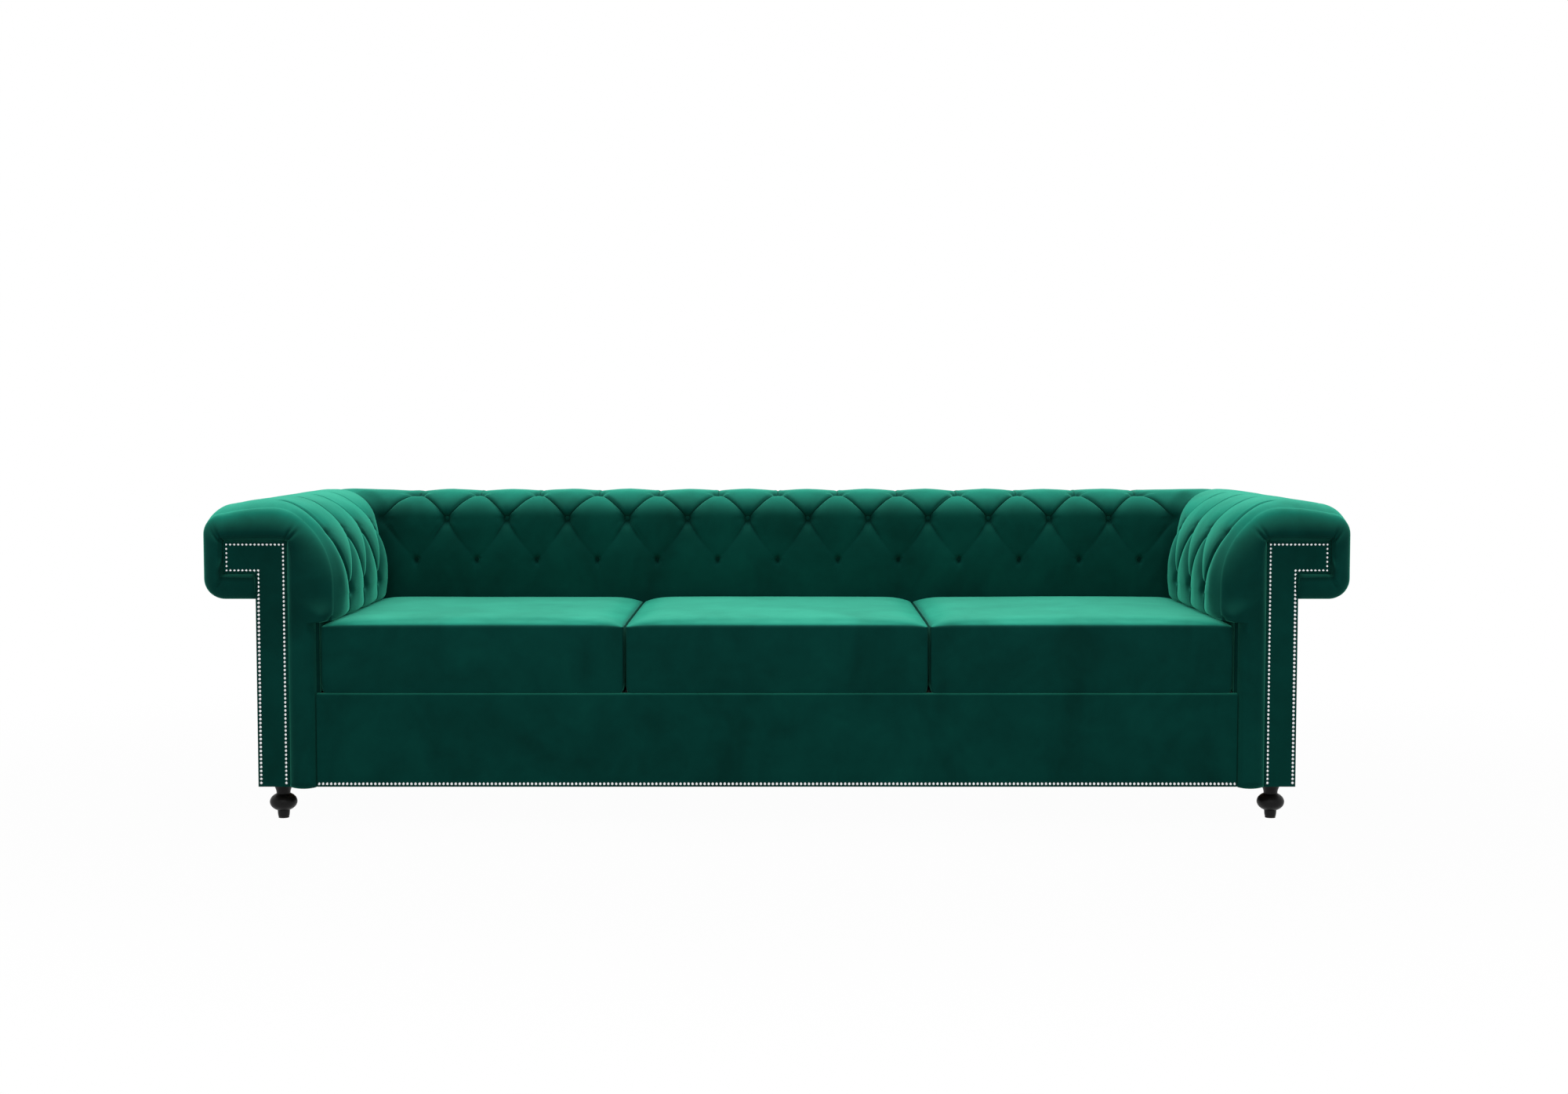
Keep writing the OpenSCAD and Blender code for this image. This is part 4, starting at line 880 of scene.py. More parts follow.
def makeArmCover(name, side):
    pad, fine = armPad, armPad["fine"]
    stations = profileRows((
        (0.04, 3), (1, 13), (1.3, 6), (3, 12), (5, fine), (8, 36), (10, 22), (12, 16), (13, 10), (15, 16), (16, 6),
        (22, 6),
    ))
    armLine = [profilePoint(pad, s, pad["high"], sofa["crest"]) for s in stations]
    backLine = [profilePoint(backPad, s, backPad["high"], sofa["crest"]) for s in stations]
    backEnd = [(out / sofa["mitre"], up) for out, up in backLine]
    edgeLine = [edgePoint(s) if s <= 16.0 else armLine[j] for j, s in enumerate(stations)]
    panelLine = [panelPoint(s) if s <= 16.0 else None for s in stations]
    rises = riseOf(armLine, stations, pad)
    endK = (sofa["seatDepth"] - backPad["swell"] - pad["first"]) / pad["pitch"]
    plain = pad["last"] - 0.5
    step = 1.0 / (2.0 * fine)
    body = [endK, (endK + 3.1) / 2.0]
    body += [k * step for k in range(int(3.1 / step), int(-0.5 / step) - 1, -1)]
    frontmost = gap + facing["thick"]
    firstY = pad["first"] - 0.5 * pad["pitch"]
    ahead = [firstY - (firstY - frontmost) * t / 14.0 for t in range(1, 15)]
    body += [(y - pad["first"]) / pad["pitch"] for y in ahead]
    columns = [("body", k) for k in body] + [("round", t / 8.0) for t in range(9)]
    columns += [("flat", t / 12.0) for t in range(1, 13)] + [("tuck", 1.0)]
    lines = []
    for k in body:
        u = max(0.0, k - plain) / (endK - plain)
        y = pad["first"] + k * pad["pitch"]
        v = max(0.0, 1.0 - (y - frontmost) / armFront["easing"]) ** armFront["easingPower"]
        row = []
        for j, s in enumerate(stations):
            p = between(armLine[j], backEnd[j], u)
            if 1.0 < s <= 16.0:
                p = between(p, edgeLine[j], v * smoothStep((s - 1.0) / 0.4))
            row.append(p)
        lines.append(row)
    bm = bmesh.new()
    paintedShadeLayer, borderSheenLayer = bm.verts.layers.float.new("paintedShade"), bm.verts.layers.float.new("rim")
    creases, onFold = {}, {}

    def placeBody(i, j):
        k, s = body[i], stations[j]
        out, up = lines[i][j]
        u = max(0.0, k - plain) / (endK - plain)
        start = pad["first"] + min(k, plain) * pad["pitch"]
        end = sofa["seatDepth"] + out * sofa["mitre"] - sofa["mitreGap"]
        y = start + (end - start) * u
        if s <= 16.0:
            depth, paintedShade = tuft(pad, k, s, riseAt(rises, s), True)
            depth, creases[(i, j)], near = meetMitre(depth, paintedShade, s, end - y)
            depth *= smoothStep((y - frontmost) / armFront["tuftFrom"]) if k < -0.5 else 1.0
            unevenness = smoothStep((y - frontmost) / armFront["unevenFrom"])
            depth += roughen((side * out, y, up), tufting["uneven"]) * unevenness
            n = inwards(lines[i], j)
            stray = byHand(2.0, y, up, tufting["stray"]) * (1.0 - near) * (k > -0.5)
            out, up = out + n[0] * depth, up + n[1] * depth
            y += near * n[0] * depth * sofa["mitre"] + stray
            mark = foldMark(k, s, pad["rows"])
            if mark and k >= -0.5001 and k + max(0.0, (s - 3.0) / 2.0) / 2.0 > -0.001:
                onFold[(i, j)] = mark
        return (out, y, up)

    def placeFront(i, j):
        (kind, t), s = columns[i], stations[j]
        if s >= 22.0:
            return placeFront(i, 0)
        if s > 16.0:                     # the inside of the pad, which the border covers in front
            out, up = armLine[j]
            return (out, frontmost - gap, sofa["coverFoot"] - gap if s >= 21.0 else up)
        edge, panel = edgeLine[j], panelLine[j]
        width = math.dist(edge, panel)
        broad, underHead = smoothStep((s - 0.9) / 2.2), smoothStep((s - 12.3) / 1.2)
        proud = armFront["proud"] + armFront["fuller"] * broad
        radius = armFront["round"] + proud - armFront["proud"]
        across = armFront["roundStrip"] + (armFront["roundAcross"] - armFront["roundStrip"]) * broad
        rounded = min(across, 0.85 * width) / width
        dip = armFront["dip"] * (1.0 - 0.6 * underHead)
        if kind == "round":
            a = math.radians(90.0 * t)
            ahead = armFront["ahead"] * (1.0 - smoothStep((s - 8.0) / 2.0))
            w = rounded * ((1.0 - ahead) * (1.0 - math.cos(a)) + ahead * math.sin(a))
            y = frontmost - gap - radius * math.sin(a)
        elif kind == "flat":
            w = rounded + (1.0 - rounded) * t
            y = -proud + (proud + armFront["tuck"]) * max(0.0, 1.0 - (1.0 - w) * width / dip) ** armFront["tuckPower"]
        else:
            w, y = 1.0, frontmost - gap
        out, up = between(edge, panel, w)
        if kind != "tuck":
            gathers = borderCrease(s, w)
            ease = smoothStep(t * 3.0) if kind == "round" else 1.0
            y += ease * (armFront["gather"] * gathers + roughen((side * out, 1.0, up), armFront["uneven"]))
            # painted shade in the gathers and where the border meets the panel
            atPanel = smoothStep((w - 0.93 + 0.15 * underHead) / (0.07 + 0.06 * underHead))
            creases[(i, j)] = max(min(1.0, 0.4 * gathers), 0.8 * atPanel)
            tall = armFront["footHeight"]
            low = sofa["coverFoot"] + tall
            if up < low and s < 2.0:     # the strip's foot hangs a little and is rounded off
                up -= armFront["footSag"] * math.sin(math.pi * min(1.0, w * 1.02)) * (low - up) / tall
                y -= min(y, 0.0) * 0.7 * (min(tall, low - up) / tall) ** 2
        return (out, y, up)

    def place(i, j):
        out, y, up = placeBody(i, j) if i < len(body) else placeFront(i, j)
        return (side * (sofa["halfSeat"] + out), sofa["frontY"] + y, up)

    table = gridOf(bm, len(columns), len(stations), place)
    # painted shade of the folds, pits, mitre and gathers goes on the cloth as a vertex mark
    for (i, j), paintedShade in creases.items():
        table[i][j][paintedShadeLayer] = paintedShade
    # where the painted sheen follows the padded border's curve
    for (kind, k), column in zip(columns, table):
        y = pad["first"] + k * pad["pitch"]
        for vert in column:
            vert[borderSheenLayer] = smoothStep(1.0 - (y - frontmost) / armFront["easing"]) if kind == "body" else 1.0
    splitAlongFolds(bm, table, onFold)
    closeTube(bm)
    cover = addPiece(bm, "arm_cover_" + name, "velvet", "frame", ["arm_pad_" + name, "arm_border_" + name], pile="arm")


for name, side in sides:
    makeArmCover(name, side)
print("arm covers tufted")


# Boards covered in velvet

apron = {
    "half": 1.0064, "top": 0.2847, "thick": 0.0137, "roll": 0.0045, "columns": 260,
    "ease": 0.0018,                      # radius of its lower edge
    "waves": ((0.0012, 3.1, 5.0, 7.0), (0.0006, 11.0, 9.0, 3.0)),    # height, scale along and up, plane of the noise
    "nailed": (0.0006, 0.007, 0.004),    # depth, height above the foot and width of the line pressed in by the nails
}
panels = {
    "thick": 0.0055, "edge": 0.0018, "seams": (-0.378, 0.378), "sway": 0.0011, "columns": 60, "rows": 18,
    "groove": (0.0012, 0.0016),          # depth and width of a seam
}


def pushOut(bm, faces, offset):
    # extrudes faces by a vector and returns the points that moved
    made = bmesh.ops.extrude_face_region(bm, geom=faces)
    moved = [v for v in made["geom"] if isinstance(v, bmesh.types.BMVert)]
    bmesh.ops.translate(bm, verts=moved, vec=offset)
    return moved


def easeEdges(bm, edges, offset, segments):
    bmesh.ops.bevel(bm, geom=edges, offset=offset, segments=segments, profile=0.5, affect="EDGES", material=-1)


def makeFacing(name, side):
    bm = bmesh.new()
    outline = [
        (facing["outIn"], sofa["coverFoot"]), (facing["post"], sofa["coverFoot"]), (facing["post"], facing["low"]),
        (facing["outOut"], facing["low"]), (facing["outOut"], facing["top"]), (facing["outIn"], facing["top"]),
    ]
    corners = [bm.verts.new((side * (sofa["halfSeat"] + o), sofa["frontY"] + facing["thick"], z)) for o, z in outline]
    front = pushOut(bm, [bm.faces.new(corners)], (0.0, -facing["thick"], 0.0))
    bmesh.ops.recalc_face_normals(bm, faces=bm.faces[:])
    easeEdges(bm, [e for e in bm.edges if all(v in front for v in e.verts)], facing["edge"], 4)
    for thickness, depth in facing["rings"]:    # pressed in along the nails, padded inside them
        face = max((f for f in bm.faces if f.normal.y < -0.99), key=lambda f: f.calc_area())
        bmesh.ops.inset_region(bm, faces=[face], thickness=thickness, depth=depth, use_even_offset=True)
    addPiece(bm, "arm_facing_cover_" + name, "velvet", "frame", ["arm_facing_" + name], 50.0, "board")


def makeApron():
    roll, top, foot, ease = apron["roll"], apron["top"], sofa["coverFoot"], apron["ease"]
    section = [(ease, foot), (ease / 3.0, foot + ease / 3.0), (0.0, foot + ease)]
    rise = top - roll - foot - ease
    section += [(0.0, foot + ease + rise * i / 24.0) for i in range(1, 25)]
    for a in (math.radians(10.0 * i) for i in range(1, 10)):
        section.append((roll - roll * math.cos(a), top - roll + roll * math.sin(a)))
    section += [(apron["thick"], top), (apron["thick"], foot + 0.1), (apron["thick"], foot), (ease, foot)]
    deep, at, wide = apron["nailed"]
    bm = bmesh.new()

    def place(i, j):
        x = -apron["half"] + 2.0 * apron["half"] * i / (apron["columns"] - 1)
        y, z = section[j]
        face = smoothStep(1.0 - y / 0.008)
        for high, onX, onZ, plane in apron["waves"]:
            y += face * high * noise.noise(Vector((x * onX, plane, z * onZ)))
        return (x, sofa["frontY"] + y + face * deep * math.exp(-((z - foot - at) / wide) ** 2), z)

    gridOf(bm, apron["columns"], len(section), place)
    closeTube(bm)
    addPiece(bm, "apron_cover", "velvet", "frame", ["apron"], 40.0, "board")


def makePanel(name, node, corner, acrossTo, upTo, outward, seams=()):
    # a thin upholstered board: its face sways slightly and its edges are soft
    across, up = Vector(acrossTo) - Vector(corner), Vector(upTo) - Vector(corner)
    outward = Vector(outward)
    marks = {i / panels["columns"] for i in range(panels["columns"] + 1)}
    marks = sorted(marks | {m + d / across.length for m in seams for d in (-0.006, -0.002, 0.0, 0.002, 0.006)})
    deep, wide = panels["groove"]
    bm = bmesh.new()

    def place(i, j):
        level = j / (panels["rows"] - 1.0)
        point = Vector(corner) + across * marks[i] + up * level
        edge = min(marks[i], 1.0 - marks[i], level, 1.0 - level)
        sway = panels["sway"] * noise.noise(point * 4.0) * smoothStep(edge * 12.0)
        groove = sum(deep * math.exp(-((marks[i] - m) * across.length / wide) ** 2) for m in seams)
        return point + outward * (sway - groove)

    gridOf(bm, len(marks), panels["rows"], place)
    behind = set(pushOut(bm, bm.faces[:], -outward * panels["thick"]))
    bmesh.ops.recalc_face_normals(bm, faces=bm.faces[:])
    rim = [e for e in bm.edges if not any(v in behind for v in e.verts) and e.calc_face_angle(0.0) > 1.0]
    easeEdges(bm, rim, panels["edge"], 3)
    addPiece(bm, name, "velvet", "frame", [node], 50.0)


for name, side in sides:
    makeFacing(name, side)
    low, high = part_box("arm_outer_panel_" + name)
    x = low.x if side < 0 else high.x
    corner, acrossTo, upTo = (x, low.y, low.z), (x, high.y, low.z), (x, low.y, high.z)
    makePanel("arm_outer_cover_" + name, "arm_outer_panel_" + name, corner, acrossTo, upTo, (side, 0, 0))
makeApron()
low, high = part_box("back_outer_panel")
width = high.x - low.x
seams = [(x - low.x) / width for x in panels["seams"]]
corner, acrossTo, upTo = (low.x, high.y, low.z), (high.x, high.y, low.z), (low.x, high.y, high.z)
makePanel("back_outer_cover", "back_outer_panel", corner, acrossTo, upTo, (0, 1, 0), seams)
print("facings, apron and outer panels covered")


# Buttons and nails

button = {
    "radius": 0.0072, "height": 0.0058, "sides": 20, "twine": 0.0010, "twineLength": 0.010, "pucker": 0.00035,
    "sunk": 0.0008,
}
nail = {
    "radius": 0.0035, "height": 0.0026, "sides": 10, "pitch": 0.0088, "inset": 0.007,
    "shank": 0.0008, "shankLength": 0.010, "above": 0.002, "proud": 0.0003, "wander": 0.00012, "seed": 7,
}


def lathe(bm, outline, sides):
    # spins an outline of (radius, height) points round the Z axis into a closed body
    points = [bm.verts.new((r, 0.0, z)) for r, z in outline]
    edges = [bm.edges.new(pair) for pair in zip(points, points[1:])]
    bmesh.ops.spin(
        bm, geom=points + edges, cent=(0, 0, 0), axis=(0, 0, 1), angle=2.0 * math.pi, steps=sides, use_merge=True,
    )
    bmesh.ops.remove_doubles(bm, verts=bm.verts[:], dist=0.000002)
    bmesh.ops.recalc_face_normals(bm, faces=bm.faces[:])


def copiesOf(master, places):
    # one bmesh with the master at every matrix of places
    bm = bmesh.new()
    mesh = bpy.data.meshes.new("master")
    master.to_mesh(mesh)
    master.free()
    for place in places:
        before = len(bm.verts)
        bm.from_mesh(mesh)
        bm.verts.ensure_lookup_table()
        bmesh.ops.transform(bm, matrix=place, verts=bm.verts[before:])
    bpy.data.meshes.remove(mesh)
    return bm


def buttonMaster():
    r, h, t, end = button["radius"], button["height"], button["twine"], -button["twineLength"]
    shares = (
        (0.0, 1.0), (0.30, 0.98), (0.58, 0.86), (0.80, 0.64), (0.95, 0.34), (1.0, 0.10), (0.96, -0.06), (0.7, -0.08),
    )
    bm = bmesh.new()
    lathe(bm, [(a * r, b * h) for a, b in shares] + [(t, -0.08 * h), (t, end), (0.0, end)], button["sides"])
    for vert in bm.verts:                # the cloth is gathered towards the rim
        away = math.hypot(vert.co.x, vert.co.y)
        if away > 0.5 * r and vert.co.z > 0.0:
            wave = math.cos(10.0 * math.atan2(vert.co.y, vert.co.x))
            vert.co.z -= button["pucker"] * (away / r) ** 2 * (0.5 + 0.5 * wave)
    return bm


def nailMaster():
    r, h = nail["radius"], nail["height"]
    outline = [(a * r, b * h) for a, b in ((0.0, 1.0), (0.45, 0.88), (0.80, 0.55), (1.0, 0.08))]
    bm = bmesh.new()
    lathe(bm, outline + [(nail["shank"], -0.0006), (0.0, -nail["shankLength"])], nail["sides"])
    return bm


def facingOut(x, y, z, direction):
    # a matrix that puts a master's +Z axis along direction at the given place
    turn = Vector(direction).normalized().to_track_quat("Z", "Y").to_matrix().to_4x4()
    return Matrix.Translation((x, y, z)) @ turn


def backButtonPlaces():
    places, last = [], backPad["last"]
    for row in range(backPad["rows"] + 1):
        s = 3.0 + 2.0 * row
        line = [profilePoint(backPad, s + d, backPad["high"], sofa["crest"]) for d in (-0.08, 0.0, 0.08)]
        n = inwards(line, 1)
        depth = buttonDepth(backPad, s) - button["sunk"]
        out, up = line[1][0] + n[0] * depth, line[1][1] + n[1] * depth
        y = sofa["frontY"] + sofa["seatDepth"] + out
        for k in range(-last, last + 1 - row % 2):
            x = (k + 0.5 * (row % 2)) * backPad["pitch"]
            places.append(facingOut(x, y, up, (0.0, -n[0], -n[1])))
    return places


def armButtonPlaces(side):
    pad = armPad
    endK = (sofa["seatDepth"] - backPad["swell"] - pad["first"]) / pad["pitch"]
    plain = pad["last"] - 0.5
    places = []
    for row in range(pad["rows"] + 1):
        s = 3.0 + 2.0 * row
        for k in (i - 0.5 * row for i in range(pad["last"] + 1)):
            u = max(0.0, k - plain) / (endK - plain)
            line = []
            for d in (-0.08, 0.0, 0.08):
                p = profilePoint(pad, s + d, pad["high"], sofa["crest"])
                q = profilePoint(backPad, s + d, backPad["high"], sofa["crest"])
                line.append(between(p, (q[0] / sofa["mitre"], q[1]), u))
            n = inwards(line, 1)
            depth = buttonDepth(pad, s) - button["sunk"]
            out, up = line[1][0] + n[0] * depth, line[1][1] + n[1] * depth
            start = pad["first"] + min(k, plain) * pad["pitch"]
            y = start + (sofa["seatDepth"] + line[1][0] * sofa["mitre"] - start) * u
            x = side * (sofa["halfSeat"] + out)
            places.append(facingOut(x, sofa["frontY"] + y, up, (-side * n[0], 0.0, -n[1])))
    return places


def nailRow(a, b):
    n = max(1, round(math.dist(a, b) / nail["pitch"]))
    return [between(a, b, i / n) for i in range(n)]


def facingNailPlaces(side):
    inset = nail["inset"]
    o0, o1, o2 = facing["outIn"] + inset, facing["outOut"] - inset, facing["post"] - inset
    z0, z1, z2 = sofa["coverFoot"] + inset + nail["above"], facing["low"] + inset, facing["top"] - inset
    marks = [(o0, z0), (o0, z2), (o1, z2), (o1, z1), (o2, z1), (o2, z0)]
    spots = [spot for a, b in zip(marks, marks[1:]) for spot in nailRow(a, b)] + [marks[-1]]
    return [nailAt(side * (sofa["halfSeat"] + o), z) for o, z in spots]


def nailAt(x, z):
    # every nail is driven by hand, a hair off its mark
    shift = noise.noise_vector(Vector((x * 97.0, 1.7, z * 89.0))) * nail["wander"]
    lean = (shift.y * 300.0, -1.0, shift.x * 300.0)
    return facingOut(x + shift.x, sofa["frontY"] + nail["proud"], z + shift.z, lean)


def apronNailPlaces():
    end = apron["half"] - nail["radius"] - gap
    z = sofa["coverFoot"] + nail["inset"]
    return [nailAt(x, h) for x, h in nailRow((-end, z), (end, z)) + [(end, z)]]


def addButtons(name, node, places):
    addPiece(copiesOf(buttonMaster(), places), name, "button_velvet", "frame", [node], pile="board")


def addNails(name, node, places):
    addPiece(copiesOf(nailMaster(), places), name, "nails", "frame", [node])


noise.seed_set(nail["seed"])             # nails wander alike in each run
addButtons("back_button_set", "back_buttons", backButtonPlaces())
addNails("apron_nail_row", "apron_nails", apronNailPlaces())
for name, side in sides:
    addButtons("arm_button_set_" + name, "arm_buttons_" + name, armButtonPlaces(side))
    addNails("facing_nail_row_" + name, "facing_nails_" + name, facingNailPlaces(side))
print("buttons and nails set")


# Turned feet

foot = {
    "ball": 0.060, "ballHeight": 0.042, "toe": 0.0135, "toeHeight": 0.015, "neck": 0.015, "sides": 56,
    # (radius, height) points of the outline under the ball and over it
    "below": ((0.0, 0.003), (0.0105, 0.003), (0.0118, 0.0034), (0.0123, 0.0045), (0.0130, 0.0095), (0.0133, 0.0140)),
    "above": (
        (0.0153, 0.0588), (0.0159, 0.0612), (0.0168, 0.0640), (0.0180, 0.0672), (0.0195, 0.0705), (0.0212, 0.0740),
        (0.0222, 0.0768), (0.0225, 0.0790), (0.0225, 0.0836), (0.0221, 0.0840), (0.0, 0.0840),
    ),
}


def footMaster():
    ballZ = foot["toeHeight"] + foot["ballHeight"] / 2.0
    first = math.asin(2.0 * foot["toe"] / foot["ball"])
    last = math.pi - math.asin(2.0 * foot["neck"] / foot["ball"])
    outline = list(foot["below"])
    for i in range(25):
        a = first + (last - first) * i / 24.0
        outline.append((foot["ball"] / 2.0 * math.sin(a), ballZ - foot["ballHeight"] / 2.0 * math.cos(a)))
    bm = bmesh.new()
    lathe(bm, outline + list(foot["above"]), foot["sides"])
    return bm


for name in ("front_left", "front_right", "rear_left", "rear_right"):
    low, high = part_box("foot_" + name)
    middle = (low + high) / 2.0
    place = Matrix.Translation((middle.x, middle.y, 0.0))
    addPiece(copiesOf(footMaster(), [place]), "turned_foot_" + name, "foot_lacquer", "frame", ["foot_" + name], 40.0)
print("feet turned")


# Seat cushions

cushion = {
    "width": 0.6622, "depth": 0.640, "height": 0.1435, "pitch": 0.6655, "front": 0.001, "lift": 0.0003,
    "corner": 0.008, "belly": (0.0008, 0.0030), "lip": 0.0004, "edge": 0.0012,
    "foot": (0.0045, 0.022),             # how far the foot draws in, and its height
    "crown": 0.0140, "dome": 0.0030, "fall": 0.060,
    "zipLength": 0.500, "zipHeight": 0.022, "zipMiddle": 0.075, "zipFloor": 0.3095, "zipSeam": 0.0006,
    "pressure": 4.0, "frames": 20, "topCap": 0.005, "sideCap": 0.0005,
    "shade": (0.0008, 0.0030),           # where the dark between two cushions ends, and how softly
    "sag": ((0.0016, 4.0), (0.0003, 15.0)),    # height and scale of the noise that tells the cushions apart
    # distances of the grid lines from an edge
    "lines": (0.0, 0.002, 0.0045, 0.007, 0.011, 0.017, 0.025, 0.035, 0.047, 0.062),
}
cushionPlaces = (("left", -1), ("centre", 0), ("right", 1))


def cushionMarks(half, extra=()):
    # distances of the grid lines from the middle: close along the edges, wider between them
    inner = half - cushion["lines"][-1]
    marks = {half - d for d in cushion["lines"]} | {round(inner * i / 16.0, 6) for i in range(16)}
    marks = {m for m in marks if all(abs(m - e) > 0.006 for e in extra)} | set(extra)
    return sorted({-m for m in marks} | marks)


def cushionBlank():
    w, d, r = cushion["width"] / 2.0, cushion["depth"] / 2.0, cushion["corner"]
    height, middle, half = cushion["height"], cushion["zipMiddle"], cushion["zipHeight"] / 2.0
    xs, ys = cushionMarks(w, (cushion["zipLength"] / 2.0,)), cushionMarks(d)
    bm = bmesh.new()

    def place(i, j):
        x, y = xs[i], ys[j]
        u, v = max(0.0, (abs(x) - (w - r)) / r), max(0.0, (abs(y) - (d - r)) / r)
        if u > 0.0 and v > 0.0:          # the square corner becomes a round one
            x = math.copysign(w - r + r * u * math.sqrt(1.0 - v * v / 2.0), x)
            y = math.copysign(d - r + r * v * math.sqrt(1.0 - u * u / 2.0), y)
        return (x, y, 0.0)

    def swell(u):
        # the top rises from its seam like a quarter round, then stays level
        return math.sqrt(1.0 - max(0.0, 1.0 - u / cushion["fall"]) ** 2)

    gridOf(bm, len(xs), len(ys), place)
    pushOut(bm, bm.faces[:], (0.0, 0.0, height))
    walls = [e for e in bm.edges if abs(e.verts[0].co.z - e.verts[1].co.z) > 0.1]
    levels = [0.0, 0.0025, 0.009, 0.020, 0.042, middle - half, middle + half, 0.104, 0.125, height - 0.0025, height]
    bmesh.ops.subdivide_edges(bm, edges=walls, cuts=len(levels) - 2, use_grid_fill=True)
    for vert in bm.verts:                # the two middle levels become the zip's edges
        vert.co.z = levels[round(vert.co.z / height * (len(levels) - 1))]
    drawIn, footHeight = cushion["foot"]
    for vert in bm.verts:                # the border bellies out between its two seams
        x, y, z = vert.co
        drawn = (z / middle - 1.0) ** 2
        inSides = cushion["belly"][0] * drawn + drawIn * max(0.0, 1.0 - z / footHeight) ** 2
        if z > middle:                   # the top seams of two neighbours nearly touch
            inSides = -cushion["lip"] * drawn
        vert.co.x -= math.copysign(inSides, x) * smoothStep(abs(x) / w * 4.0 - 3.0)
        vert.co.y -= math.copysign(cushion["belly"][1] * drawn, y) * smoothStep(abs(y) / d * 4.0 - 3.0)
        if z > height - 0.001:
            vert.co.z += cushion["crown"] * swell(max(0.0, w - abs(x))) * swell(max(0.0, d - abs(y)))
            vert.co.z += cushion["dome"] * (1.0 - (x / w) ** 2) * (1.0 - (y / d) ** 2)
    bmesh.ops.recalc_face_normals(bm, faces=bm.faces[:])
    return bm


def inOrder(bm):
    # puts the points in a fixed order and returns the faces as rows of their numbers, so each run settles alike
    ranked = sorted(bm.verts, key=lambda vert: [round(c, 6) for c in vert.co])
    ranks = {vert: n for n, vert in enumerate(ranked)}
    bm.verts.sort(key=lambda vert: ranks[vert])
    bm.verts.index_update()
    return sorted([vert.index for vert in face.verts] for face in bm.faces)


def puffed(bm):
    # the fibre wrap pushes the cover out between its seams: a short cloth simulation with pressure
    scene = bpy.context.scene
    faces = inOrder(bm)
    mesh = bpy.data.meshes.new("cushion_blank")
    mesh.from_pydata([vert.co for vert in bm.verts], [], faces)
    blank = bpy.data.objects.new("cushion_blank", mesh)
    scene.collection.objects.link(blank)
    height, w, d = cushion["height"], cushion["width"] / 2.0, cushion["depth"] / 2.0
    start = [v.co.copy() for v in mesh.vertices]
    seam = {v.index for e in bm.edges if e.calc_face_angle(0.0) > 0.5 for v in e.verts}
    held = blank.vertex_groups.new(name="held")
    held.add([i for i, co in enumerate(start) if co.z < 0.001 or i in seam], 1.0, "REPLACE")
    cloth = blank.modifiers.new("cloth", "CLOTH")
    cloth.settings.vertex_group_mass = "held"
    cloth.settings.quality = 6
    cloth.settings.mass = 0.4
    cloth.settings.use_pressure = True
    cloth.settings.uniform_pressure_force = cushion["pressure"]
    cloth.settings.shrink_min = -0.012
    cloth.settings.tension_stiffness = 25.0
    cloth.settings.compression_stiffness = 25.0
    cloth.settings.bending_stiffness = 4.0
    cloth.settings.effector_weights.gravity = 0.0
    cloth.collision_settings.use_collision = False
    cloth.point_cache.frame_start = 1
    cloth.point_cache.frame_end = cushion["frames"]
    for step in range(1, cushion["frames"] + 1):
        scene.frame_set(step)
    settled = blank.evaluated_get(bpy.context.evaluated_depsgraph_get())
    moves = [v.co - co for v, co in zip(settled.data.vertices, start)]
    bpy.data.objects.remove(blank)
    scene.frame_set(1)
    bm.verts.ensure_lookup_table()
    for vert, move in zip(bm.verts, moves):
        cap = cushion["sideCap"]
        if vert.co.z > height - 0.001:
            cap = 0.0001 + cushion["topCap"] * smoothStep(min(w - abs(vert.co.x), d - abs(vert.co.y)) / 0.09)
        length = move.length
        if length > 1e-7:
            vert.co += move * (cap * math.tanh(length / cap) / length)
    largest = max(m.length for m in moves)
    print("cushion cloth settled, largest move %.1f mm" % (largest * 1000.0))


def cushionMaster():
    bm = cushionBlank()
    puffed(bm)
    half, middle, height = cushion["zipLength"] / 2.0, cushion["zipMiddle"], cushion["height"]
    bm.normal_update()
    rear = [(f, f.calc_center_median()) for f in bm.faces if f.normal.y > 0.9]
    opening = [f for f, at in rear if abs(at.x) < half and abs(at.z - middle) < cushion["zipHeight"] / 2.0]
    bmesh.ops.inset_region(bm, faces=opening, thickness=cushion["zipSeam"], depth=-0.004, use_even_offset=True)
    for face in opening:
        for vert in face.verts:
            vert.co.y = cushion["zipFloor"]
    seams = []
    for edge in bm.edges:                # the level seams at the foot and at the top
        a, b = (v.co.z for v in edge.verts)
        if edge.calc_face_angle(0.0) > 0.5 and abs(a - b) < 0.001 and (a < 0.001 or abs(a - height) < 0.001):
            seams.append(edge)
    easeEdges(bm, seams, cushion["edge"], 3)
    paintedShade = bm.verts.layers.float.new("paintedShade")
    start, soft = cushion["shade"]
    for vert in bm.verts:                # little light falls between two cushions
        beside = cushion["width"] / 2.0 - abs(vert.co.x)
        vert[paintedShade] = 1.0 - smoothStep((beside - start) / soft)
    return bm


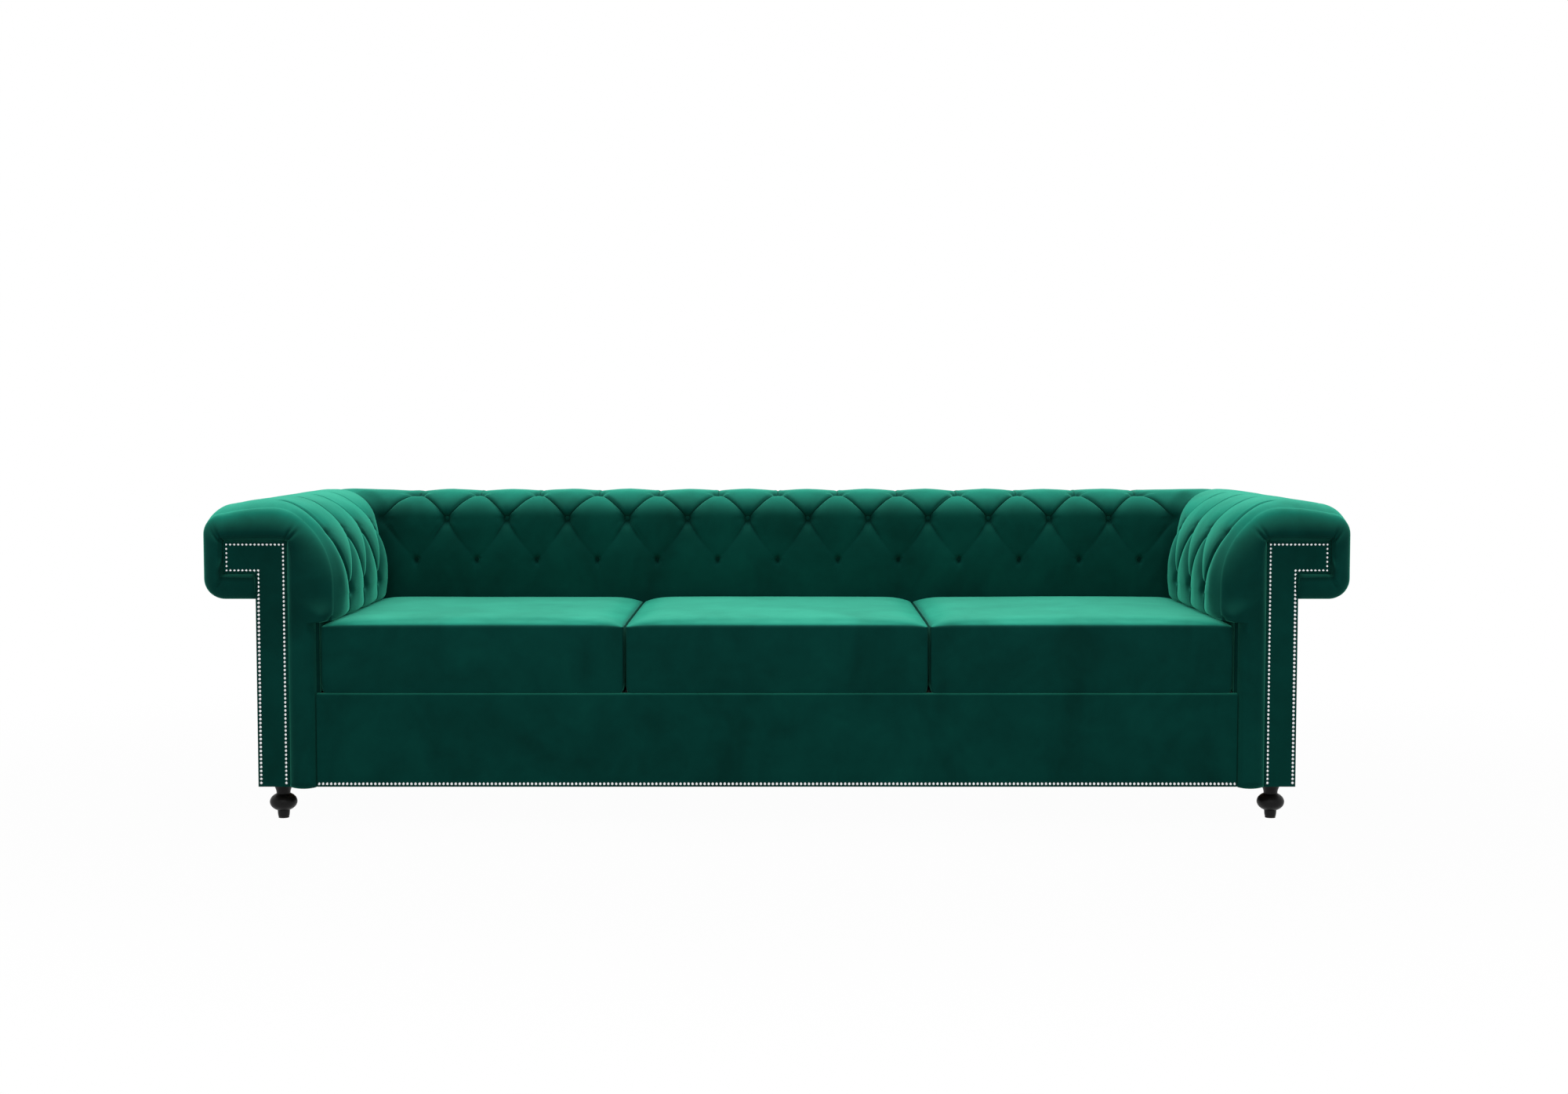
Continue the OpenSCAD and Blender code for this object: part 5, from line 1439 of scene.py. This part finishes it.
def makeCushions():
    master = bpy.data.meshes.new("cushion_master")
    bm = cushionMaster()
    bm.to_mesh(master)
    bm.free()
    y = sofa["frontY"] + cushion["front"] + cushion["depth"] / 2.0
    for name, index in cushionPlaces:
        bm = bmesh.new()
        bm.from_mesh(master)
        for vert in bm.verts:            # no two cushions have settled alike
            seat = smoothStep((vert.co.z - cushion["height"] - 0.002) / 0.006)
            for value, size in ((vert.co.x, cushion["width"]), (vert.co.y, cushion["depth"])):
                seat *= 1.0 - (value * 2.0 / size) ** 6
            point = Vector((vert.co.x + 5.0 * index, vert.co.y, vert.co.z))
            vert.co.z += seat * sum(high * noise.noise(point * scale) for high, scale in cushion["sag"])
        shift = (index * cushion["pitch"], y, sofa["seat"] + cushion["lift"])
        bmesh.ops.translate(bm, verts=bm.verts[:], vec=shift)
        cover = "cushion_cover_" + name
        piece = addPiece(bm, "seat_cushion_" + name, "velvet", "cushion_" + name, [cover], pile="cushion")
        smoother = piece.modifiers.new("smoother", "SUBSURF")
        smoother.levels = smoother.render_levels = 1
    bpy.data.meshes.remove(master)


makeCushions()
print("cushions filled")


# Inside and below: cores, zips, deck, dust cover and centre leg

core = {"round": 0.010, "layer": 0.55, "groove": 0.0007, "grooveHalf": 0.0012, "swell": 0.0016, "cells": 12}
zipper = {
    "tape": 0.0011, "ribs": 84, "rib": 0.00012,
    "tooth": (0.0011, 0.0011, 0.0034), "toothEdge": 0.0002, "pitch": 0.0040, "lean": 0.0007, "ends": 0.012,
}
deck = {
    "quilt": 0.105, "columns": 120, "rows": 46, "wrinkle": 0.0004,
    "dip": (0.0026, 0.009),              # depth and width of a line of stitches
    "edge": (0.004, 0.004),
}
dust = {
    "inner": 1.0373, "outer": 1.1299, "front": 0.014, "step": 0.6573, "rear": 0.7949, "top": 0.0838, "thick": 0.0012,
    "legHole": (0.0, 0.460, 0.0205), "footHoles": (1.096, 0.741, 0.0230), "sag": 0.0022, "pucker": 0.0007,
    "opened": 0.030,                     # half the square that is opened round a hole
    "cell": 0.035, "staples": 0.070,
}
leg = {
    "sides": 40,
    # (radius, height) points from its lower end and from its upper end
    "toe": ((0.0, 0.0), (0.0120, 0.0), (0.0138, 0.0015), (0.0141, 0.004), (0.0172, 0.055)),
    "top": ((0.0196, -0.004), (0.0200, -0.0015), (0.0194, 0.0), (0.0, 0.0)),
}


def cutAcross(bm, place, normal):
    bmesh.ops.bisect_plane(bm, geom=bm.verts[:] + bm.edges[:] + bm.faces[:], plane_co=place, plane_no=normal)


def makeCore(name):
    # two layers of foam glued one on the other, with their edges eased
    low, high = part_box("cushion_core_" + name)
    size, middle = high - low, (low + high) / 2.0
    bm = bmesh.new()
    bmesh.ops.create_cube(bm, size=1.0)
    bmesh.ops.scale(bm, vec=size, verts=bm.verts[:])
    level = size.z * (core["layer"] - 0.5)
    for height in (level - core["grooveHalf"], level, level + core["grooveHalf"]):
        cutAcross(bm, (0, 0, height), (0, 0, 1))
    for axis, normal in ((0, Vector((1.0, 0.0, 0.0))), (1, Vector((0.0, 1.0, 0.0)))):
        for i in range(1, core["cells"]):
            cutAcross(bm, normal * size[axis] * (i / core["cells"] - 0.5), normal)
    easeEdges(bm, [e for e in bm.edges if e.calc_face_angle(0.0) > 1.0], core["round"], 4)
    for vert in bm.verts:
        if abs(vert.co.z - level) < 0.0004:
            vert.co.x -= math.copysign(core["groove"], vert.co.x) * (abs(vert.co.x) > size.x / 2.0 - 0.001)
            vert.co.y -= math.copysign(core["groove"], vert.co.y) * (abs(vert.co.y) > size.y / 2.0 - 0.001)
        waves = noise.noise(Vector((vert.co.x, vert.co.y, 4.0)) * 6.0)
        vert.co.z -= core["swell"] * (vert.co.z > 0.0) * (0.5 + 0.5 * waves)
    bmesh.ops.translate(bm, verts=bm.verts[:], vec=middle)
    piece = addPiece(bm, "foam_core_" + name, "foam", "cushion_" + name, ["cushion_core_" + name], 50.0)


def makeZip(name):
    # ribbed tape with a row of metal teeth along its middle
    low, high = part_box("zip_tape_" + name)
    columns = zipper["ribs"]
    bm = bmesh.new()

    def place(i, j):
        y = low.y + zipper["rib"] * (i % 2)
        return (low.x + (high.x - low.x) * i / (columns - 1), y, low.z + (high.z - low.z) * j / 4.0)

    gridOf(bm, columns, 5, place)
    pushOut(bm, bm.faces[:], (0.0, zipper["tape"], 0.0))
    bmesh.ops.recalc_face_normals(bm, faces=bm.faces[:])
    addPiece(bm, "zip_ribbon_" + name, "dust_cloth", "cushion_" + name, ["zip_tape_" + name], 50.0)
    tooth = bmesh.new()
    bmesh.ops.create_cube(tooth, size=1.0)
    bmesh.ops.scale(tooth, vec=zipper["tooth"], verts=tooth.verts[:])
    easeEdges(tooth, tooth.edges[:], zipper["toothEdge"], 1)
    y, z = high.y - zipper["tooth"][1] / 2.0 + zipper["toothEdge"], (low.z + high.z) / 2.0
    count = int((high.x - low.x - zipper["ends"]) / zipper["pitch"])
    start = (low.x + high.x) / 2.0 - zipper["pitch"] * (count - 1) / 2.0
    places = []
    for i in range(count):
        lift = zipper["lean"] * (1 if i % 2 else -1)
        places.append(Matrix.Translation((start + zipper["pitch"] * i, y, z + lift)))
    addPiece(copiesOf(tooth, places), "zip_teeth_" + name, "zip_metal", "cushion_" + name, (), 50.0)


def makeDeck():
    # felt pad on the springs, stitched through in squares
    low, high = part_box("seat_deck")
    (dip, dipWidth), (edgeDip, edgeWidth) = deck["dip"], deck["edge"]
    bm = bmesh.new()

    def place(i, j):
        x = low.x + (high.x - low.x) * i / (deck["columns"] - 1)
        y = low.y + (high.y - low.y) * j / (deck["rows"] - 1)
        off = min(abs(offLine(x / deck["quilt"])), abs(offLine(y / deck["quilt"]))) * deck["quilt"]
        edge = min(x - low.x, high.x - x, y - low.y, high.y - y)
        down = dip * math.exp(-(off / dipWidth) ** 2) + edgeDip * math.exp(-edge / edgeWidth)
        return (x, y, high.z - down - deck["wrinkle"] * (1.0 + noise.noise(Vector((x, y, 1.0)) * 20.0)))

    gridOf(bm, deck["columns"], deck["rows"], place)
    for vert in pushOut(bm, bm.faces[:], (0.0, 0.0, 0.0)):
        vert.co.z = low.z
    bmesh.ops.recalc_face_normals(bm, faces=bm.faces[:])
    piece = addPiece(bm, "felt_deck", "felt", "frame", ["seat_deck"], 50.0)


def spansOf(marks, step):
    # marks with even steps of about the given length between them
    row = []
    for a, b in zip(marks, marks[1:]):
        n = max(1, round((b - a) / step))
        row += [a + (b - a) * i / n for i in range(n)]
    return row + [marks[-1]]


def makeDustCover():
    holes = [dust["legHole"]] + [(side * dust["footHoles"][0], *dust["footHoles"][1:]) for _, side in sides]
    xMarks = {-dust["outer"], -dust["inner"], dust["inner"], dust["outer"]}
    yMarks = {dust["front"], dust["step"], dust["rear"]}
    cut = dust["opened"]
    for x, y, _ in holes:
        xMarks |= {x - cut, x - cut / 2.0, x, x + cut / 2.0, min(x + cut, dust["outer"])}
        yMarks |= {y - cut, y - cut / 2.0, y, y + cut / 2.0, y + cut}
    xs, ys = spansOf(sorted(xMarks), dust["cell"]), spansOf(sorted(yMarks), dust["cell"])
    bm = bmesh.new()
    gridOf(bm, len(xs), len(ys), lambda i, j: (xs[i], ys[j], 0.0))

    def facesAt(wanted):
        return [f for f in bm.faces if wanted(f.calc_center_median())]

    corners = facesAt(lambda at: abs(at.x) > dust["inner"] and at.y < dust["step"])
    bmesh.ops.delete(bm, geom=corners, context="FACES")
    for x, y, radius in holes:
        inside = facesAt(lambda at: abs(at.x - x) < cut and abs(at.y - y) < cut)
        rim = {e for f in inside for e in f.edges if sum(g in inside for g in e.link_faces) == 1}
        bmesh.ops.delete(bm, geom=inside, context="FACES")
        rim = [e for e in rim if e.is_valid]
        ring = bmesh.ops.create_circle(bm, segments=len(rim), radius=radius)["verts"]
        bmesh.ops.translate(bm, verts=ring, vec=(x, y, 0.0))
        inner = {e for v in ring for e in v.link_edges}
        bmesh.ops.bridge_loops(bm, edges=rim + list(inner))
    for vert in bm.verts:
        x, y = vert.co.x, vert.co.y
        half = dust["outer"] if y > dust["step"] else dust["inner"]
        edge = min(y - dust["front"], dust["rear"] - y, half - abs(x))
        free = smoothStep(edge / 0.12)
        staple = math.exp(-edge / 0.020) * math.cos(2.0 * math.pi * (x + y) / dust["staples"])
        vert.co.y += sofa["frontY"]
        sag = dust["sag"] * free * (0.7 + 0.5 * noise.noise(vert.co * 5.0))
        vert.co.z = dust["top"] - sag - dust["pucker"] * (0.5 + 0.5 * staple)
    pushOut(bm, bm.faces[:], (0.0, 0.0, -dust["thick"]))
    bmesh.ops.recalc_face_normals(bm, faces=bm.faces[:])
    piece = addPiece(bm, "dust_sheet", "dust_cloth", "frame", ["dust_cover"], 50.0)
    wide, deep = 2.0 * dust["outer"], dust["rear"] - dust["front"]
    area = 2.0 * dust["inner"] * (dust["step"] - dust["front"]) + wide * (dust["rear"] - dust["step"])
    area -= sum(math.pi * radius ** 2 for _, _, radius in holes)


def makeLeg():
    # plain tapered leg with a chamfered toe
    low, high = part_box("centre_leg")
    middle = (low + high) / 2.0
    bm = bmesh.new()
    outline = [(r, low.z + h) for r, h in leg["toe"]] + [(r, high.z + h) for r, h in leg["top"]]
    lathe(bm, outline, leg["sides"])
    bmesh.ops.translate(bm, verts=bm.verts[:], vec=(middle.x, middle.y, 0.0))
    addPiece(bm, "tapered_leg", "foot_lacquer", "frame", ["centre_leg"], 40.0)


for name, _ in cushionPlaces:
    makeCore(name)
    makeZip(name)
makeDeck()
makeDustCover()
makeLeg()
print("cores, zips, deck, dust cover and leg made")

for part in frame["record"]["subparts"]:
    node = nodes[part["node"]]
    if not node.hide_render:
        for holder in node.material_slots:
            holder.material = finishes[part["material_slot"]]
